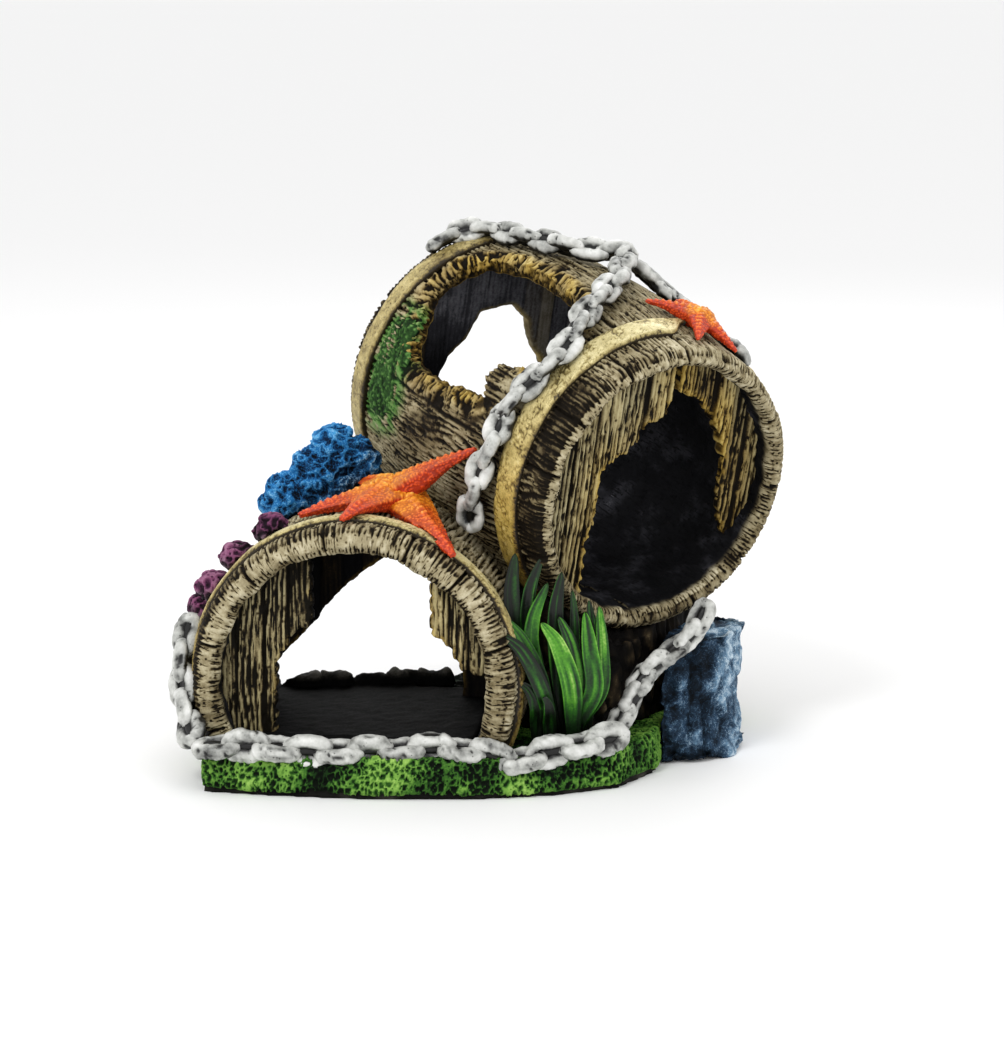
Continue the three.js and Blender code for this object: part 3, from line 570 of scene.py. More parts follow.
class Barrel:
    """A barrel's own frame: the origin is the centre of its front rim, X is to the right, Y runs
    back along its axis and Z is up. The angle round it is 0 at the top and grows to the right."""

    def __init__(self, front_centre, yaw, tilt, length, radii, bulge, wall, hoops, knots=()):
        self.centre = np.array(front_centre) + SHIFT
        self.length, self.radii, self.bulge, self.wall = length, radii, bulge, wall
        self.hoops, self.knots = hoops, knots
        a, b = math.radians(yaw), math.radians(tilt)
        about_z = np.array([[math.cos(a), -math.sin(a), 0], [math.sin(a), math.cos(a), 0], [0, 0, 1]])
        about_x = np.array([[1, 0, 0], [0, math.cos(b), -math.sin(b)], [0, math.sin(b), math.cos(b)]])
        self.turn = about_z @ about_x

    def radius(self, depth):
        """The outer radius: its ends' own radii, with a bulge between them."""
        share = np.clip(np.asarray(depth, float) / self.length, 0, 1)
        return mix(*self.radii, share) + self.bulge * np.sin(np.pi * share) ** 1.3

    def world(self, local):
        """Points of the barrel's own frame in the row frame."""
        return self.centre + np.asarray(local) @ self.turn.T

    def local(self, points):
        """Points of the row frame in the barrel's own frame."""
        return (points - self.centre) @ self.turn

    def at(self, depth, degrees, radius):
        """Points from a depth along the axis, an angle round it and a distance from it."""
        angle = np.radians(degrees)
        depth = np.broadcast_to(depth, np.broadcast(angle, radius).shape)
        return self.world(np.stack([radius * np.sin(angle), depth, radius * np.cos(angle)], -1))

    def on(self, depth, degrees, height=0.0):
        """Points at a height above the staves."""
        return self.at(depth, degrees, self.radius(depth) + height)


# The depths of each barrel's front and rear hoop, and the big one's knots as depth, degrees and
# radius.
BIG_HOOPS = ((7.5, 14.2), (72.8, 78.7))
SMALL_HOOPS = ((4.2, 7.8), (44.2, 47.8))
KNOTS = ((44, -88, 4.5), (30, -74, 3.2), (36, 120, 5.0), (58, 60, 4.0))
big = Barrel(front_centre=(36.5, -18, 63), yaw=33, tilt=13.2, length=82, radii=(33.6, 35.2), bulge=3.5,
             wall=4.2, hoops=BIG_HOOPS, knots=KNOTS)
small = Barrel(front_centre=(-33.3, -36, 22.5), yaw=-8, tilt=0, length=52, radii=(36, 36), bulge=1.4,
               wall=6, hoops=SMALL_HOOPS)
ARC_RADIUS = 37.0  # turns degrees round a barrel into millimetres for the patterns
SHELL_PITCH_ALONG = 0.62
SHELL_PITCH_AROUND = 0.37
HOOP_PITCH_ALONG = 0.3
HOOP_PITCH_AROUND = 0.33
HOOP_THICKNESS = 1.3
CHIME = (8.5, 6.5)  # where the combing between hoop and rim fades out, as depths from the rim
STAVE_WIDTHS = (11, 23)

# Outlines on the big barrel, as depth and degrees.
SIDE_HOLE = [
    (43, -70), (58, -69), (62, -59), (67, -47), (69, -35), (68, -26), (64, -18), (55, -11), (42, -11),
    (30, -14), (21, -26), (18.5, -40), (21.5, -49), (29.5, -51), (30.5, -60), (28, -66), (36.5, -66),
]
MOSS_OUTLINE = [
    (62, -57), (67, -54), (72.4, -56), (72.4, -90), (70, -97), (64, -96), (59.5, -92), (58, -84),
    (60, -77), (58.5, -69), (61.5, -63),
]
HOLE_CENTRE = (45, -38)
SHARD = (26, -57, 6.0)  # depth, degrees and radius of the plank that still stands in the hole


def arc_of(degrees):
    """Millimetres round a barrel."""
    return np.radians(degrees) * ARC_RADIUS


def on_arc(outline):
    """Corners by depth and degrees as corners by depth and arc."""
    return np.array([(depth, arc_of(degrees)) for depth, degrees in outline])


def waves(*layers):
    """Layers of (height, length, seed) as one function of the way along an outline."""
    return lambda steps: sum(height * line_noise(steps, length, seed) for height, length, seed in layers)


def carved(across, along, seed, period=1.3):
    """Carved wood: rows of wavy ridges with gaps between them, scratches, pits and a slow swell.
    Gives the height in mm and the level of paint."""
    place = np.stack([across, along, np.full_like(across, 3.7 * seed)], 1)
    drift = 1.7 * noise(place, (6, 17, 5), seed) + 0.5 * noise(place, (2.2, 6, 5), seed + 1)
    ridge = np.sin(2 * np.pi * (across + drift) / period)
    broken = noise(place, (1.7, 5.5, 5), seed + 2)
    gap = ramp(ridge + 1.2 * broken, -0.35, -1.1)
    flow = place + np.stack([drift, drift * 0, drift * 0], 1)
    scratch = ramp(np.abs(noise(flow, (0.9, 6, 5), seed + 3)), 0.17, 0.03)
    nearest, _, value = scattered(place * (1, 0.55, 1), 1.0, seed + 4)
    pit = ramp(nearest, 0.42, 0.2) * (value > 0.4)
    swell = 0.22 * noise(place, (8, 14, 5), seed + 5)
    height = swell + 0.1 * ridge - 0.42 * gap - 0.22 * scratch - 0.38 * pit
    level = 0.6 - 0.42 * gap - 0.2 * scratch - 0.36 * pit + 0.08 * ridge
    return height, level + 0.12 * noise(place, 3.3, seed + 6)


def knot_height(depth, arc, knots):
    """Rings of grain round each knot, and how far the knot's own rings hold."""
    height, hold = np.zeros_like(depth), np.zeros_like(depth)
    for knot_depth, degrees, radius in knots:
        away = np.hypot((depth - knot_depth) * 0.62, arc - arc_of(degrees))
        near = ramp(away, radius * 1.25, radius * 0.8)
        circles = np.sin(away * 2 * np.pi / 1.25 + 1.5 * line_noise(depth + arc, 2, 91))
        height += near * (0.08 * circles - 0.1 - 0.6 * ramp(away, 1.1, 0.3))
        hold = np.maximum(hold, near)
    return height, hold


def edge_cuts(arc, reach, seed, spacing=1.15, longest=2.8):
    """Short cuts that start at an edge: 1 inside a cut. Reach is the distance from the edge."""
    step = arc / spacing + 1.3 * line_noise(arc, 3.1, seed)
    number = np.floor(step).astype(np.int64)
    across = np.abs(step - number - 0.5) * 2
    half = 0.18 + 0.24 * value_of(number, seed + 1)
    length = longest * (0.12 + 0.88 * value_of(number, seed) ** 1.6)
    return ramp(across, half + 0.2, half - 0.15) * ramp(reach, length, length * 0.6)


def stave_joints(start, stop, seed):
    """Arc positions of the joints between staves of uneven width."""
    joints, at, number = [], start, 0
    while at < stop:
        joints.append(at)
        at += mix(*STAVE_WIDTHS, float(hashed(np.array([[number, 5, 7]]), seed)[0]))
        number += 1
    return np.array(joints)


def stave_steps(arc, edge, joints, seed):
    """Each stave's own slight step less the cracks between staves, which are deepest near the
    rims, and where those cracks are."""
    gap = np.abs(arc[:, None] - joints).min(1)
    stave = np.searchsorted(joints, arc)
    crack = ramp(gap, 0.55, 0.12) * mix(0.35, 1.1, ramp(edge, 12, 3))
    return 0.35 * (value_of(stave, seed) - 0.5) - crack, crack


def fitted_to_hole(depth, degrees, outline):
    """Fits a wall's grid to a hole by moving the grid points along its rim onto the outline.
    Gives the moved grid, the cells to keep, and each point's distance to the outline and place
    along it."""
    flat = np.stack([depth.ravel(), arc_of(degrees.ravel())], 1)
    near = np.flatnonzero(((flat > outline.min(0) - 9) & (flat < outline.max(0) + 9)).all(1))
    distance, spot, walk, inside = to_outline(flat[near], outline)
    gone = np.zeros(depth.size, bool)
    gone[near] = inside
    keep = without_pinches(corner_count(gone.reshape(depth.shape)) < 2)
    rim = rim_of(keep, outside=True)[near]
    flat[near[rim]] = spot[rim]
    torn, along = np.full(depth.size, FAR), np.zeros(depth.size)
    torn[near] = np.where(rim, 0, distance)
    along[near] = walk
    depth = flat[:, 0].reshape(depth.shape)
    degrees = np.degrees(flat[:, 1] / ARC_RADIUS).reshape(depth.shape)
    return depth, degrees, keep, torn, along


def torn_fibres(torn, along, seed):
    """Tufts of fibre that stand round a hole: their height, level of paint, how far they hold and
    the tongues that they gather in."""
    sway = noise(np.stack([along, torn, 0 * torn], 1), 6, seed + 19)
    place = np.stack([along + 0.25 * torn * sway, torn, 0 * torn], 1)
    strand = np.sin(2 * np.pi * place[:, 0] / 1.5 + 2.2 * noise(place, (2.5, 3, 1), seed + 20))
    tongue = noise(place, (3.2, 2.4, 1), seed + 21)
    cleft = ramp(strand + 1.3 * noise(place, (1.1, 1.8, 1), seed + 23), -0.1, -0.9)
    height = 0.25 * strand + 0.6 * tongue - 0.65 * cleft
    level = 0.62 + 0.18 * tongue + 0.1 * strand - 0.62 * cleft
    return height, level, ramp(torn, 7.0, 2.5), tongue


def moss_stain(depth, arc, outline, seed):
    """How far a thin stain of moss covers the wood round a patch."""
    flat = np.stack([depth, arc], 1)
    near = ((flat > outline.min(0) - 7) & (flat < outline.max(0) + 7)).all(1)
    stain = np.zeros(len(flat))
    distance, _, _, inside = to_outline(flat[near], outline)
    stain[near] = np.where(inside, 1, ramp(distance, 6, 0.5))
    lumps = np.stack([arc, depth, 0 * arc], 1)
    return stain * ramp(rough(lumps, 2.2, seed + 50), -0.5, 0.25)


class Wall:
    """Part of a barrel's wall between two angles, as a grid of points by depth and arc. Torn is how
    far each point is from the hole's outline, and along is its place round the hole."""

    def __init__(self, barrel, angles, seed, hole=None, combs=1.0):
        self.barrel, self.seed, self.combs = barrel, seed, combs
        arc_span = arc_of(angles[1]) - arc_of(angles[0])
        rows = np.linspace(0, barrel.length, int(barrel.length / SHELL_PITCH_ALONG) + 1)
        columns = np.linspace(*angles, int(arc_span / SHELL_PITCH_AROUND) + 1)
        depth, degrees = np.meshgrid(rows, columns, indexing="ij")
        self.shape = (*depth.shape, 3)
        self.keep = np.ones((len(rows) - 1, len(columns) - 1), bool)
        self.torn, self.along = np.full(depth.size, FAR), np.zeros(depth.size)
        if hole is not None:
            depth, degrees, self.keep, self.torn, self.along = fitted_to_hole(depth, degrees, hole)
        self.depth, self.degrees = depth.ravel(), degrees.ravel()
        self.arc = arc_of(self.degrees)
        self.place = np.stack([self.arc, self.depth, 0 * self.arc], 1)
        self.edge = np.minimum(self.depth, barrel.length - self.depth)
        self.joints = stave_joints(arc_of(-190), arc_of(190), seed)
        self.rounding = (1 - np.clip(self.edge / 1.7, 0, 1)) ** 2
        # Painted shade: the paint is darker on the lower left of a barrel, the side turned away from the
        # upper right.
        self.painted_side_shade = 0.08 * ramp(np.cos(np.radians(self.degrees - 35)), 0.1, -0.7)

    def skin(self, radius):
        """The grid of points at a distance from the axis."""
        return self.barrel.at(self.depth, self.degrees, radius).reshape(self.shape)

    def outer_face(self):
        """Carved staves, combed between hoop and rim and torn round the hole. Gives the points,
        the paint, how far the torn fibres hold and how golden they are."""
        depth, arc, seed = self.depth, self.arc, self.seed
        front_hoop, rear_hoop = self.barrel.hoops
        to_hoop = np.minimum(np.abs(front_hoop[0] - depth), np.abs(depth - rear_hoop[1]))
        chime = ramp(self.edge, *CHIME) * self.combs
        cuts = np.maximum(edge_cuts(arc, self.edge, seed + 11), edge_cuts(arc, to_hoop, seed + 12))
        cuts = cuts * chime
        step, crack = stave_steps(arc, self.edge, self.joints, seed)
        knots, hold = knot_height(depth, arc, self.barrel.knots)
        height, level = carved(arc, depth, seed)
        height = height * (1 - 0.4 * chime) * (1 - hold) + knots + step - 0.5 * cuts + 0.3 * chime
        tufts, tuft_level, tear, tongue = torn_fibres(self.torn, self.along, seed)
        shard_depth, shard_degrees, shard_radius = SHARD
        from_shard = np.hypot(depth - shard_depth, arc - arc_of(shard_degrees))
        tear = tear * (1 - 0.8 * ramp(from_shard, shard_radius, shard_radius - 1.5))
        height = mix(height, tufts, 0.9 * tear) - 1.1 * ramp(self.torn, 2.4, 0) - self.rounding
        level = mix(mix(mix(level, 0.64, 0.22), 0.5 + 0.9 * knots, hold * 0.45), tuft_level, tear)
        level += 0.04 * chime - 0.5 * cuts - 0.6 * crack + 0.14 * rough(self.place, 11, seed + 40)
        # Painted shade on the barrel's lower left, with more of it on the combed band on the barrel's
        # left side.
        level -= self.painted_side_shade + 0.3 * chime * ramp(self.degrees, -10, -60)
        golden = tear * (0.3 + 0.5 * ramp(self.torn, 5, 1) + 0.3 * tongue)
        return self.skin(self.barrel.radius(depth) + height), level, tear, golden

    def inner_face(self):
        """A lumpy wall with a combed bevel at the front."""
        lumps = 0.5 * rough(self.place, 6, self.seed + 30)
        lumps += 0.25 * np.abs(noise(self.place, 1.5, self.seed + 31))
        cuts = edge_cuts(self.arc, self.depth, self.seed + 13)
        radius = self.barrel.radius(self.depth) - self.barrel.wall - lumps + 0.8 * self.rounding
        bevel = ramp(self.depth, 3.2, 1)
        # Painted light: the inner wall is paler from about 40 mm deep backwards, where light through the
        # side hole falls on it.
        level = 0.42 + 0.4 * lumps + 0.15 * ramp(self.depth, 40, 58) + bevel * (0.12 - 0.6 * cuts)
        return self.skin(radius + 0.35 * cuts * ramp(self.depth, 6, 3)), level, bevel

    def lip(self, origin, across):
        """The combed ends of the staves at a rim: how far they stand out, and their paint."""
        thickness, arc = self.barrel.wall, self.arc[origin]
        longest = 0.42 * thickness
        cuts = self.combs * np.maximum(
            edge_cuts(arc, across, self.seed + 11, longest=longest),
            edge_cuts(arc, thickness - across, self.seed + 13, longest=longest),
        )
        grain = noise(np.stack([arc, across, 0 * across], 1), (0.9, 2.5, 1), self.seed + 14)
        crack = stave_steps(arc, 0 * across, self.joints, self.seed)[1]
        height = 0.85 * ramp(np.minimum(across, thickness - across), 0, 1.6)
        height += 0.16 * grain - 0.5 * cuts - 0.9 * crack
        # Painted shade: the lip is darker on the barrel's lower left and on its right side.
        level = 0.63 - 0.55 * cuts - 0.6 * crack + 0.16 * grain - self.painted_side_shade[origin]
        level -= 0.14 * ramp(self.degrees[origin], 45, 100)
        return height * np.where(self.depth[origin] < self.barrel.length / 2, -1.0, 1.0), level


def shell(name, node, wall, moss_outline=None):
    """A piece of a barrel's wall, closed by combed lips at its rims and torn fibres at its hole."""
    barrel = wall.barrel
    outer, outer_level, tear, golden = wall.outer_face()
    inner, inner_level, bevel = wall.inner_face()
    points, faces, origin, share = slab(outer, inner, wall.keep, strips=9)
    across = share * barrel.wall
    middle = (share > 0) & (share < 1)
    at_rim = middle & (wall.edge[origin] < 1e-6)
    at_tear = middle & (wall.torn[origin] < 1)
    lip, lip_level = wall.lip(origin, across)
    points[at_rim] += (lip[:, None] * barrel.turn[:, 1])[at_rim]
    strand = np.stack([wall.along[origin], share * 2.5, 0 * share], 1)
    strand = np.abs(noise(strand, (0.9, 1, 1), wall.seed + 22)) * 1.4 - 0.4
    inward = unit(barrel.on(*HOLE_CENTRE, -barrel.wall / 2) - points)
    points[at_tear] += (inward * (strand * np.sin(np.pi * share))[:, None])[at_tear]
    level = np.where(share == 1, inner_level[origin], outer_level[origin])
    level = np.where(at_rim, lip_level, level)
    level = np.where(at_tear, 0.5 + 0.3 * strand - 0.35 * share, level)
    stain = 0 * wall.arc
    if moss_outline is not None:
        stain = moss_stain(wall.depth, wall.arc, moss_outline, wall.seed)
    ringed = (tear > 0.5)[origin]
    grain = grain_fields(np.where(ringed, wall.along[origin], wall.arc[origin]),
                         np.where(ringed, wall.torn[origin], wall.depth[origin]) + across)
    dark = np.where(share == 1, 1 - bevel[origin], at_tear * ramp(share, 0.2, 0.9))
    add_piece(name, node, wood, points, faces, height=level, torn=golden[origin], inside=dark,
              moss=np.where(share < 0.5, stain[origin], 0), **grain)


def hoop(name, node, barrel, depths, angles, seed, dents=0.16, golden=1.0, dull=0.0, pointed=False):
    """A hammered band with rounded edges. Golden is how far its lower part turns to ochre, dull is
    how much darker its paint is, and a pointed one ends in a point over the top of the barrel."""
    wrap = angles is None
    start, end = angles or (0, 360)
    columns = int(arc_of(end - start) / HOOP_PITCH_AROUND)
    rows = int((depths[1] - depths[0]) / HOOP_PITCH_ALONG) + 1
    depth, degrees = np.meshgrid(np.linspace(*depths, rows),
                                 np.linspace(start, end, columns, endpoint=not wrap), indexing="ij")
    shape = (*depth.shape, 3)
    keep = np.ones((rows - 1, columns if wrap else columns - 1), bool)
    depth, degrees = depth.ravel(), degrees.ravel()
    edge = np.minimum(depth - depths[0], depths[1] - depth)
    place = barrel.on(depth, degrees)
    nearest, second, value = scattered(place, 1.2, seed)
    dent = ramp(second - nearest, 0.2, 0.03) * ramp(noise(place, 1.9, seed + 4), -0.35, 0.1)
    flecks = ramp(scattered(place, 1.3, seed + 5)[0], 0.24, 0.1)
    height = HOOP_THICKNESS + 0.2 * noise(place, 9, seed + 1) - dents * dent - 0.15 * flecks
    height -= 0.45 * (1 - np.clip(edge / 0.9, 0, 1)) ** 2
    depth = depth + 0.35 * noise(place, 6, seed + 2) * ramp(edge, 1.5, 0)
    if pointed:
        depth = mix(depths[1], depth, 0.05 + 0.95 * ramp(end - degrees, 0, 14))
    outer, inner = (barrel.on(depth, degrees, rise).reshape(shape) for rise in (height, -EMBED))
    points, faces, origin, share = slab(outer, inner, keep, wrap, 2)
    level = 0.66 - 2.2 * dents * dent + 0.14 * (value - 0.5) + 0.12 * rough(place, 9, seed + 3)
    level -= dull + 0.3 * flecks + 0.3 * (1 - np.clip(edge / 0.8, 0, 1))
    ochre = golden * ramp(np.abs(degrees), 30, 105)
    add_piece(name, node, gold, points, faces, height=level[origin] - 0.5 * (share > 0),
              ochre=ochre[origin])


BOARD_THICKNESS = 3
BOARD_WIDTH = 5.2
BOARD_PITCH = 0.36
OPENING_MIDDLE = 3  # how far right of the axis the openings in the heads are centred


def scallops(size, depth, seed):
    """A broken edge of rounded tongues with sharp notches between them."""
    def wobble(steps):
        bumps = np.abs(np.sin(np.pi * (steps / size + 0.35 * line_noise(steps, size * 2, seed))))
        return depth * (bumps**0.6 - 0.5) + 0.5 * depth * line_noise(steps, size * 3, seed + 1)
    return wobble


def disc_grid(outline, radius, pitch, around):
    """A grid on the part of a disc within an outline, or around it, with the points on its broken
    edge moved onto the outline. Gives the points by right and up, the cells to keep, and each
    point's distance to the outline and place along it."""
    steps = np.arange(-radius - pitch, radius + pitch, pitch)
    up, right = np.meshgrid(steps, steps, indexing="ij")
    flat = np.stack([right.ravel(), up.ravel()], 1)
    distance, spot, along, inside = to_outline(flat, outline)
    solid = (~inside if around else inside) & (np.hypot(*flat.T) < radius)
    keep = without_pinches(corner_count(solid.reshape(up.shape)) > 2)
    snap = rim_of(keep) & (distance < 2 * pitch) & (np.hypot(*spot.T) < radius)
    flat[snap] = spot[snap]
    return flat, keep, np.where(snap, 0, distance), along


def board_steps(right, seed):
    """The joints between upright boards, and each board's own value."""
    place = right / BOARD_WIDTH + 0.5 * line_noise(right, 9, seed + 8)
    number = np.floor(place).astype(np.int64)
    gap = np.minimum(place - number, 1 - (place - number)) * BOARD_WIDTH
    return ramp(gap, 0.45, 0.1), value_of(number, seed + 9)


def plate(name, node, look, barrel, outline, depth, seed, pitch=BOARD_PITCH, around=False, wobble=None,
          darkness=(0.0, 1.0), yellow=(0.0, 0.0), dark=0.0, steps_out=0.9, relief=1.0, lit=0.0):
    """Head boards across a barrel, in or around an outline of (right, up), with an upright grain.
    Darkness is how dark their front and back are. Yellow gives the level of fresh wood, and how much
    it grows towards the broken edge. Relief scales the carving of the front, and lit is how much
    paler its upper part is."""
    line = jagged(outline, 0.35, wobble or scallops(3.4, 0.9, seed))
    radius = barrel.radius(depth) - barrel.wall + 0.9
    flat, keep, edge, along = disc_grid(line, radius, pitch, around)
    x, z = flat.T
    joint, own = board_steps(x, seed)
    grain, level = carved(x, z * 0.6, seed, period=1.25)
    height = relief * (0.9 * grain - 0.9 * joint) + steps_out * (own - 0.5) - 0.35 * ramp(edge, 1.4, 0)
    level = mix(0.5, level, relief) + lit * ramp(z + 0.4 * x, -4, 16) - dark
    level += relief * (0.25 * (own - 0.5) - 0.6 * joint)
    lit_edge = ramp(edge, 1.0, 0.3) * ramp(line_noise(along, 4, seed + 13), -0.5, 0.3)
    level = mix(level, 0.7, 0.6 * lit_edge * (1 - joint))
    back_height, back_level = carved(x, z, seed + 3)

    shape = (keep.shape[0] + 1, keep.shape[1] + 1, 3)
    front = barrel.world(np.stack([x, depth - height, z], 1)).reshape(shape)
    back = depth + BOARD_THICKNESS + 0.7 * back_height
    back = barrel.world(np.stack([x, back, z], 1)).reshape(shape)
    points, faces, origin, share = slab(front, back, keep, strips=4)
    middle = (share > 0) & (share < 1)
    strand = noise(np.stack([along[origin], share * 2, 0 * share], 1), (0.9, 1, 1), seed + 12)
    outward = unit(np.stack([x - OPENING_MIDDLE, 0 * x, z], 1) @ barrel.turn.T)
    points[middle] -= (outward[origin] * (0.35 * strand)[:, None])[middle]

    level = np.where(share == 1, back_level[origin], level[origin])
    fresh = yellow[0] + yellow[1] * ramp(edge, 9, 1) + 0.35 * (own - 0.5) + 0.5 * lit_edge
    add_piece(name, node, look, points, faces, height=level - np.where(middle, 0.15 - 0.2 * strand, 0),
              torn=np.where(share < 1, fresh[origin], 0), inside=mix(*darkness, share),
              **grain_fields(x[origin], z[origin] + share * BOARD_THICKNESS))


def make_barrels():
    hole = jagged(on_arc(SIDE_HOLE), 0.4, waves((0.9, 3.2, 4), (0.45, 1.1, 5)))
    moss_area = on_arc(MOSS_OUTLINE)
    shell("big_barrel_left_staves", "big_barrel_shell", Wall(big, (-175, 7), 3, hole), moss_area)
    shell("big_barrel_right_staves", "big_barrel_shell", Wall(big, (7, 185), 3))
    shell("small_barrel_staves", "small_barrel_shell", Wall(small, (-118.5, 118.5), 6, combs=0.9))
    hoop("big_front_hoop_band", "big_front_hoop", big, big.hoops[0], (-312, 15.5), 71, pointed=True)
    hoop("big_rear_hoop_band", "big_rear_hoop", big, big.hoops[1], None, 72, dents=0.06,
         golden=0.25, dull=0.2)
    hoop("small_front_hoop_band", "small_front_hoop", small, small.hoops[0], (-114, 114), 73, golden=0.8)
    hoop("small_rear_hoop_band", "small_rear_hoop", small, small.hoops[1], (-114, 114), 74, golden=0.5)


# What is left of each head, or the opening in it, as (right, up) from the barrel's axis.
FRONT_LEFT_BOARDS = [
    (3, 40), (3, 21.5), (2, 15.5), (-3, 13.5), (-4, 10), (-7.5, 7), (-11, 5.5), (-13.5, 4), (-13.5, -8),
    (-15, -13), (-15, -40), (-40, -40), (-40, 40),
]
FRONT_RIGHT_BOARDS = [
    (3.6, 40), (5, 21.5), (11, 19.5), (15, 15), (18.5, 9), (20, 5), (21.5, 3), (21.5, -5), (23, -12.5),
    (25.5, -17), (40, -17), (40, 40),
]
REAR_OPENING = [
    (-16, 1.7), (-13.5, 7.5), (-9, 11.5), (-7.2, 15), (-5.8, 18), (-1, 19.3), (4.2, 19), (8.3, 15),
    (9.8, 10), (12.8, 6), (16.5, 0), (17, -6), (10, -13), (-2, -14), (-11, -10), (-15, -4),
]
SMALL_LEFT_BOARDS = [
    (-40, -20), (-19, -20), (-19, -12), (-18, 4), (-14, 11), (-10, 13), (-10, 40), (-40, 40),
]
SMALL_RIGHT_BOARDS = [(17, 40), (17, 12), (21, 9), (24, 3.5), (27.5, 2.5), (40, 2.5), (40, 40)]
SMALL_REAR_OPENING = [
    (-40, -40), (-40, -8), (-28.5, -7), (-24, -2.3), (-19, 2.7), (-12, 11.4), (-6, 16.7), (1, 21.5),
    (10, 23.5), (17, 20), (20, 8), (18.5, -6), (18.5, -40),
]


def make_heads():
    lumpy = waves((0.5, 4, 31), (0.25, 1.5, 32))
    plate("front_head_left_boards", "front_head_left", boards, big, FRONT_LEFT_BOARDS, 6, 21,
          yellow=(0.1, 0.4), dark=-0.06)
    plate("front_head_right_boards", "front_head_right", boards, big, FRONT_RIGHT_BOARDS, 6, 22,
          yellow=(0.3, 0.5), steps_out=2.2)
    plate("small_head_left_boards", "small_head_left", boards, small, SMALL_LEFT_BOARDS, 5, 23,
          yellow=(-0.1, 0.15), dark=0.16)
    plate("small_head_right_boards", "small_head_right", boards, small, SMALL_RIGHT_BOARDS, 5, 24,
          yellow=(0.0, 0.2), dark=0.04)
    rear = {"around": True, "wobble": lumpy, "darkness": (1.0, 0.45), "steps_out": 0.3}
    plate("rear_head_boards", "rear_head", rear_boards, big, REAR_OPENING, 73, 25, pitch=0.45,
          relief=0.15, lit=0.35, **rear)
    plate("small_rear_head_boards", "small_rear_head", rear_boards, small, SMALL_REAR_OPENING, 42, 26,
          pitch=0.5, relief=0.3, dark=0.25, **rear)


# ---- rocks, base and coral --------------------------------------------------------------


def make_slab():
    points, faces = remeshed("base_slab", 0.9, 3)
    lumps = 0.25 * rough(points, 5, 1)
    height = lumps * ramp(points[:, 2], 0.1, 0.6) - 0.7 * ramp(points[:, 2], 0.2, 0.8)
    add_piece("base_foot", "base_slab", slab_paint, raised(points, faces, height), faces,
              height=0.5 + lumps)


def make_turf():
    """A bank with a honeycomb skin that comes down over the foot, with painted shade under the arch."""
    points, faces = remeshed("grass_bank", 0.34, 6)
    points[:, 2] -= ramp(points[:, 2], 8.3, 3.5) * (3.5 - TURF_BOTTOM)
    nearest, second, _ = scattered(points + 0.5 * noise(points, 2, 3)[:, None], 1.35, 11)
    comb = ramp(second - nearest, 0.34, 0.08)
    swell = rough(points, 7, 2)
    from_axis = np.hypot(*small.local(points)[:, ::2].T)
    under_arch = (from_axis < small.radii[0] - small.wall) & (points[:, 1] > small.centre[1] + 4)
    level = 0.13 + 0.42 * comb + 0.2 * swell + 0.2 * noise(points, (9, 9, 5), 9)
    # Painted shade under the small barrel's arch; the paint is also darker towards the bottom of the
    # bank.
    level -= 0.08 * ramp(points[:, 2], 3.2, 1.6) + 0.4 * under_arch
    add_piece("grass_turf", "grass_bank", turf,
              raised(points, faces, 0.6 * comb + 0.5 * swell - 0.15), faces, height=level)


def make_tunnel_floor():
    points, faces = remeshed("tunnel_floor", 0.5, 4)
    lumps = rough(points, 3, 5)
    ridge = ramp(points[:, 2], 10.9, 12.2)
    add_piece("tunnel_floor_rock", "tunnel_floor", stone,
              raised(points, faces, 0.15 * lumps + ridge * (lumps + 0.9)), faces,
              height=0.08 + 0.08 * lumps + ridge * (0.62 + 0.3 * lumps))


def pushed_out(barrel, points, clearance, reach):
    """Moves points that are within a barrel, or just past its ends, out to its surface."""
    local = barrel.local(points)
    away = np.hypot(local[:, 0], local[:, 2])
    limit = barrel.radius(local[:, 1]) + np.where(local[:, 1] < 0, clearance, 0)
    within = (away < limit) & (local[:, 1] > -reach) & (local[:, 1] < barrel.length)
    local[:, ::2] *= np.where(within, limit / np.maximum(away, 1e-6), 1)[:, None]
    return barrel.world(local)


def make_pedestal():
    points, faces = remeshed("rock_pedestal", 0.7, 4)
    points = pushed_out(big, points, 2.0, 14)
    bark = noise(points, (3.2, 3.2, 11), 3) + 0.5 * noise(points, (1.5, 1.5, 5), 4)
    ridge = 1 - np.abs(bark)
    nearest, second, _ = scattered(points, (4.5, 4.5, 8), 7)
    crack = ramp(second - nearest, 0.16, 0.03)
    height = 0.9 * ridge - 0.55 + 0.5 * rough(points, 7, 6) - 0.8 * crack
    level = 0.2 + 0.5 * ridge * ramp(height, -0.4, 0.6) - 0.5 * crack + 0.25 * rough(points, 2, 9)
    add_piece("rock_core", "rock_pedestal", core, raised(points, faces, height), faces, height=level)


def make_blue_rock():
    """A faceted stone with crackled paint that is paler to the right."""
    points, faces = remeshed("blue_rock", 0.42, 4)
    nearest, second, value = scattered(points, (7, 7, 10), 17)
    facets = ramp(second - nearest, 0.0, 0.25)
    crackle = 1 - np.abs(noise(points, 2.2, 18)) - 0.5 * np.abs(noise(points, 1.1, 21))
    broad = rough(points, 6, 19)
    height = 0.9 * facets * (0.4 + value) + 0.9 * broad + 0.3 * crackle
    height += 1.5 * noise(points, 12, 23) - 1.3
    brushed = ramp(crackle, 0.3, 0.95) * ramp(broad, -0.7, 0.5)
    right = share_of(points[:, 0])
    level = 0.2 + 0.2 * brushed + 0.06 * facets - 0.12 * ramp(crackle, 0.35, 0.0)
    level += 0.14 * (value - 0.5) + 0.34 * ramp(right + 0.35 * broad, 0.3, 1.0)
    add_piece("blue_rock_stone", "blue_rock", rock, raised(points, faces, height), faces, height=level)


def wormy(points, size, seed):
    """A maze of rounded ridges: 1 on a ridge and 0 in the channels."""
    bent = points + 0.5 * size * np.stack([noise(points, size * 1.6, seed + k) for k in range(3)], 1)
    return ramp(np.abs(noise(bent, size, seed + 4)), 0.42, 0.1)


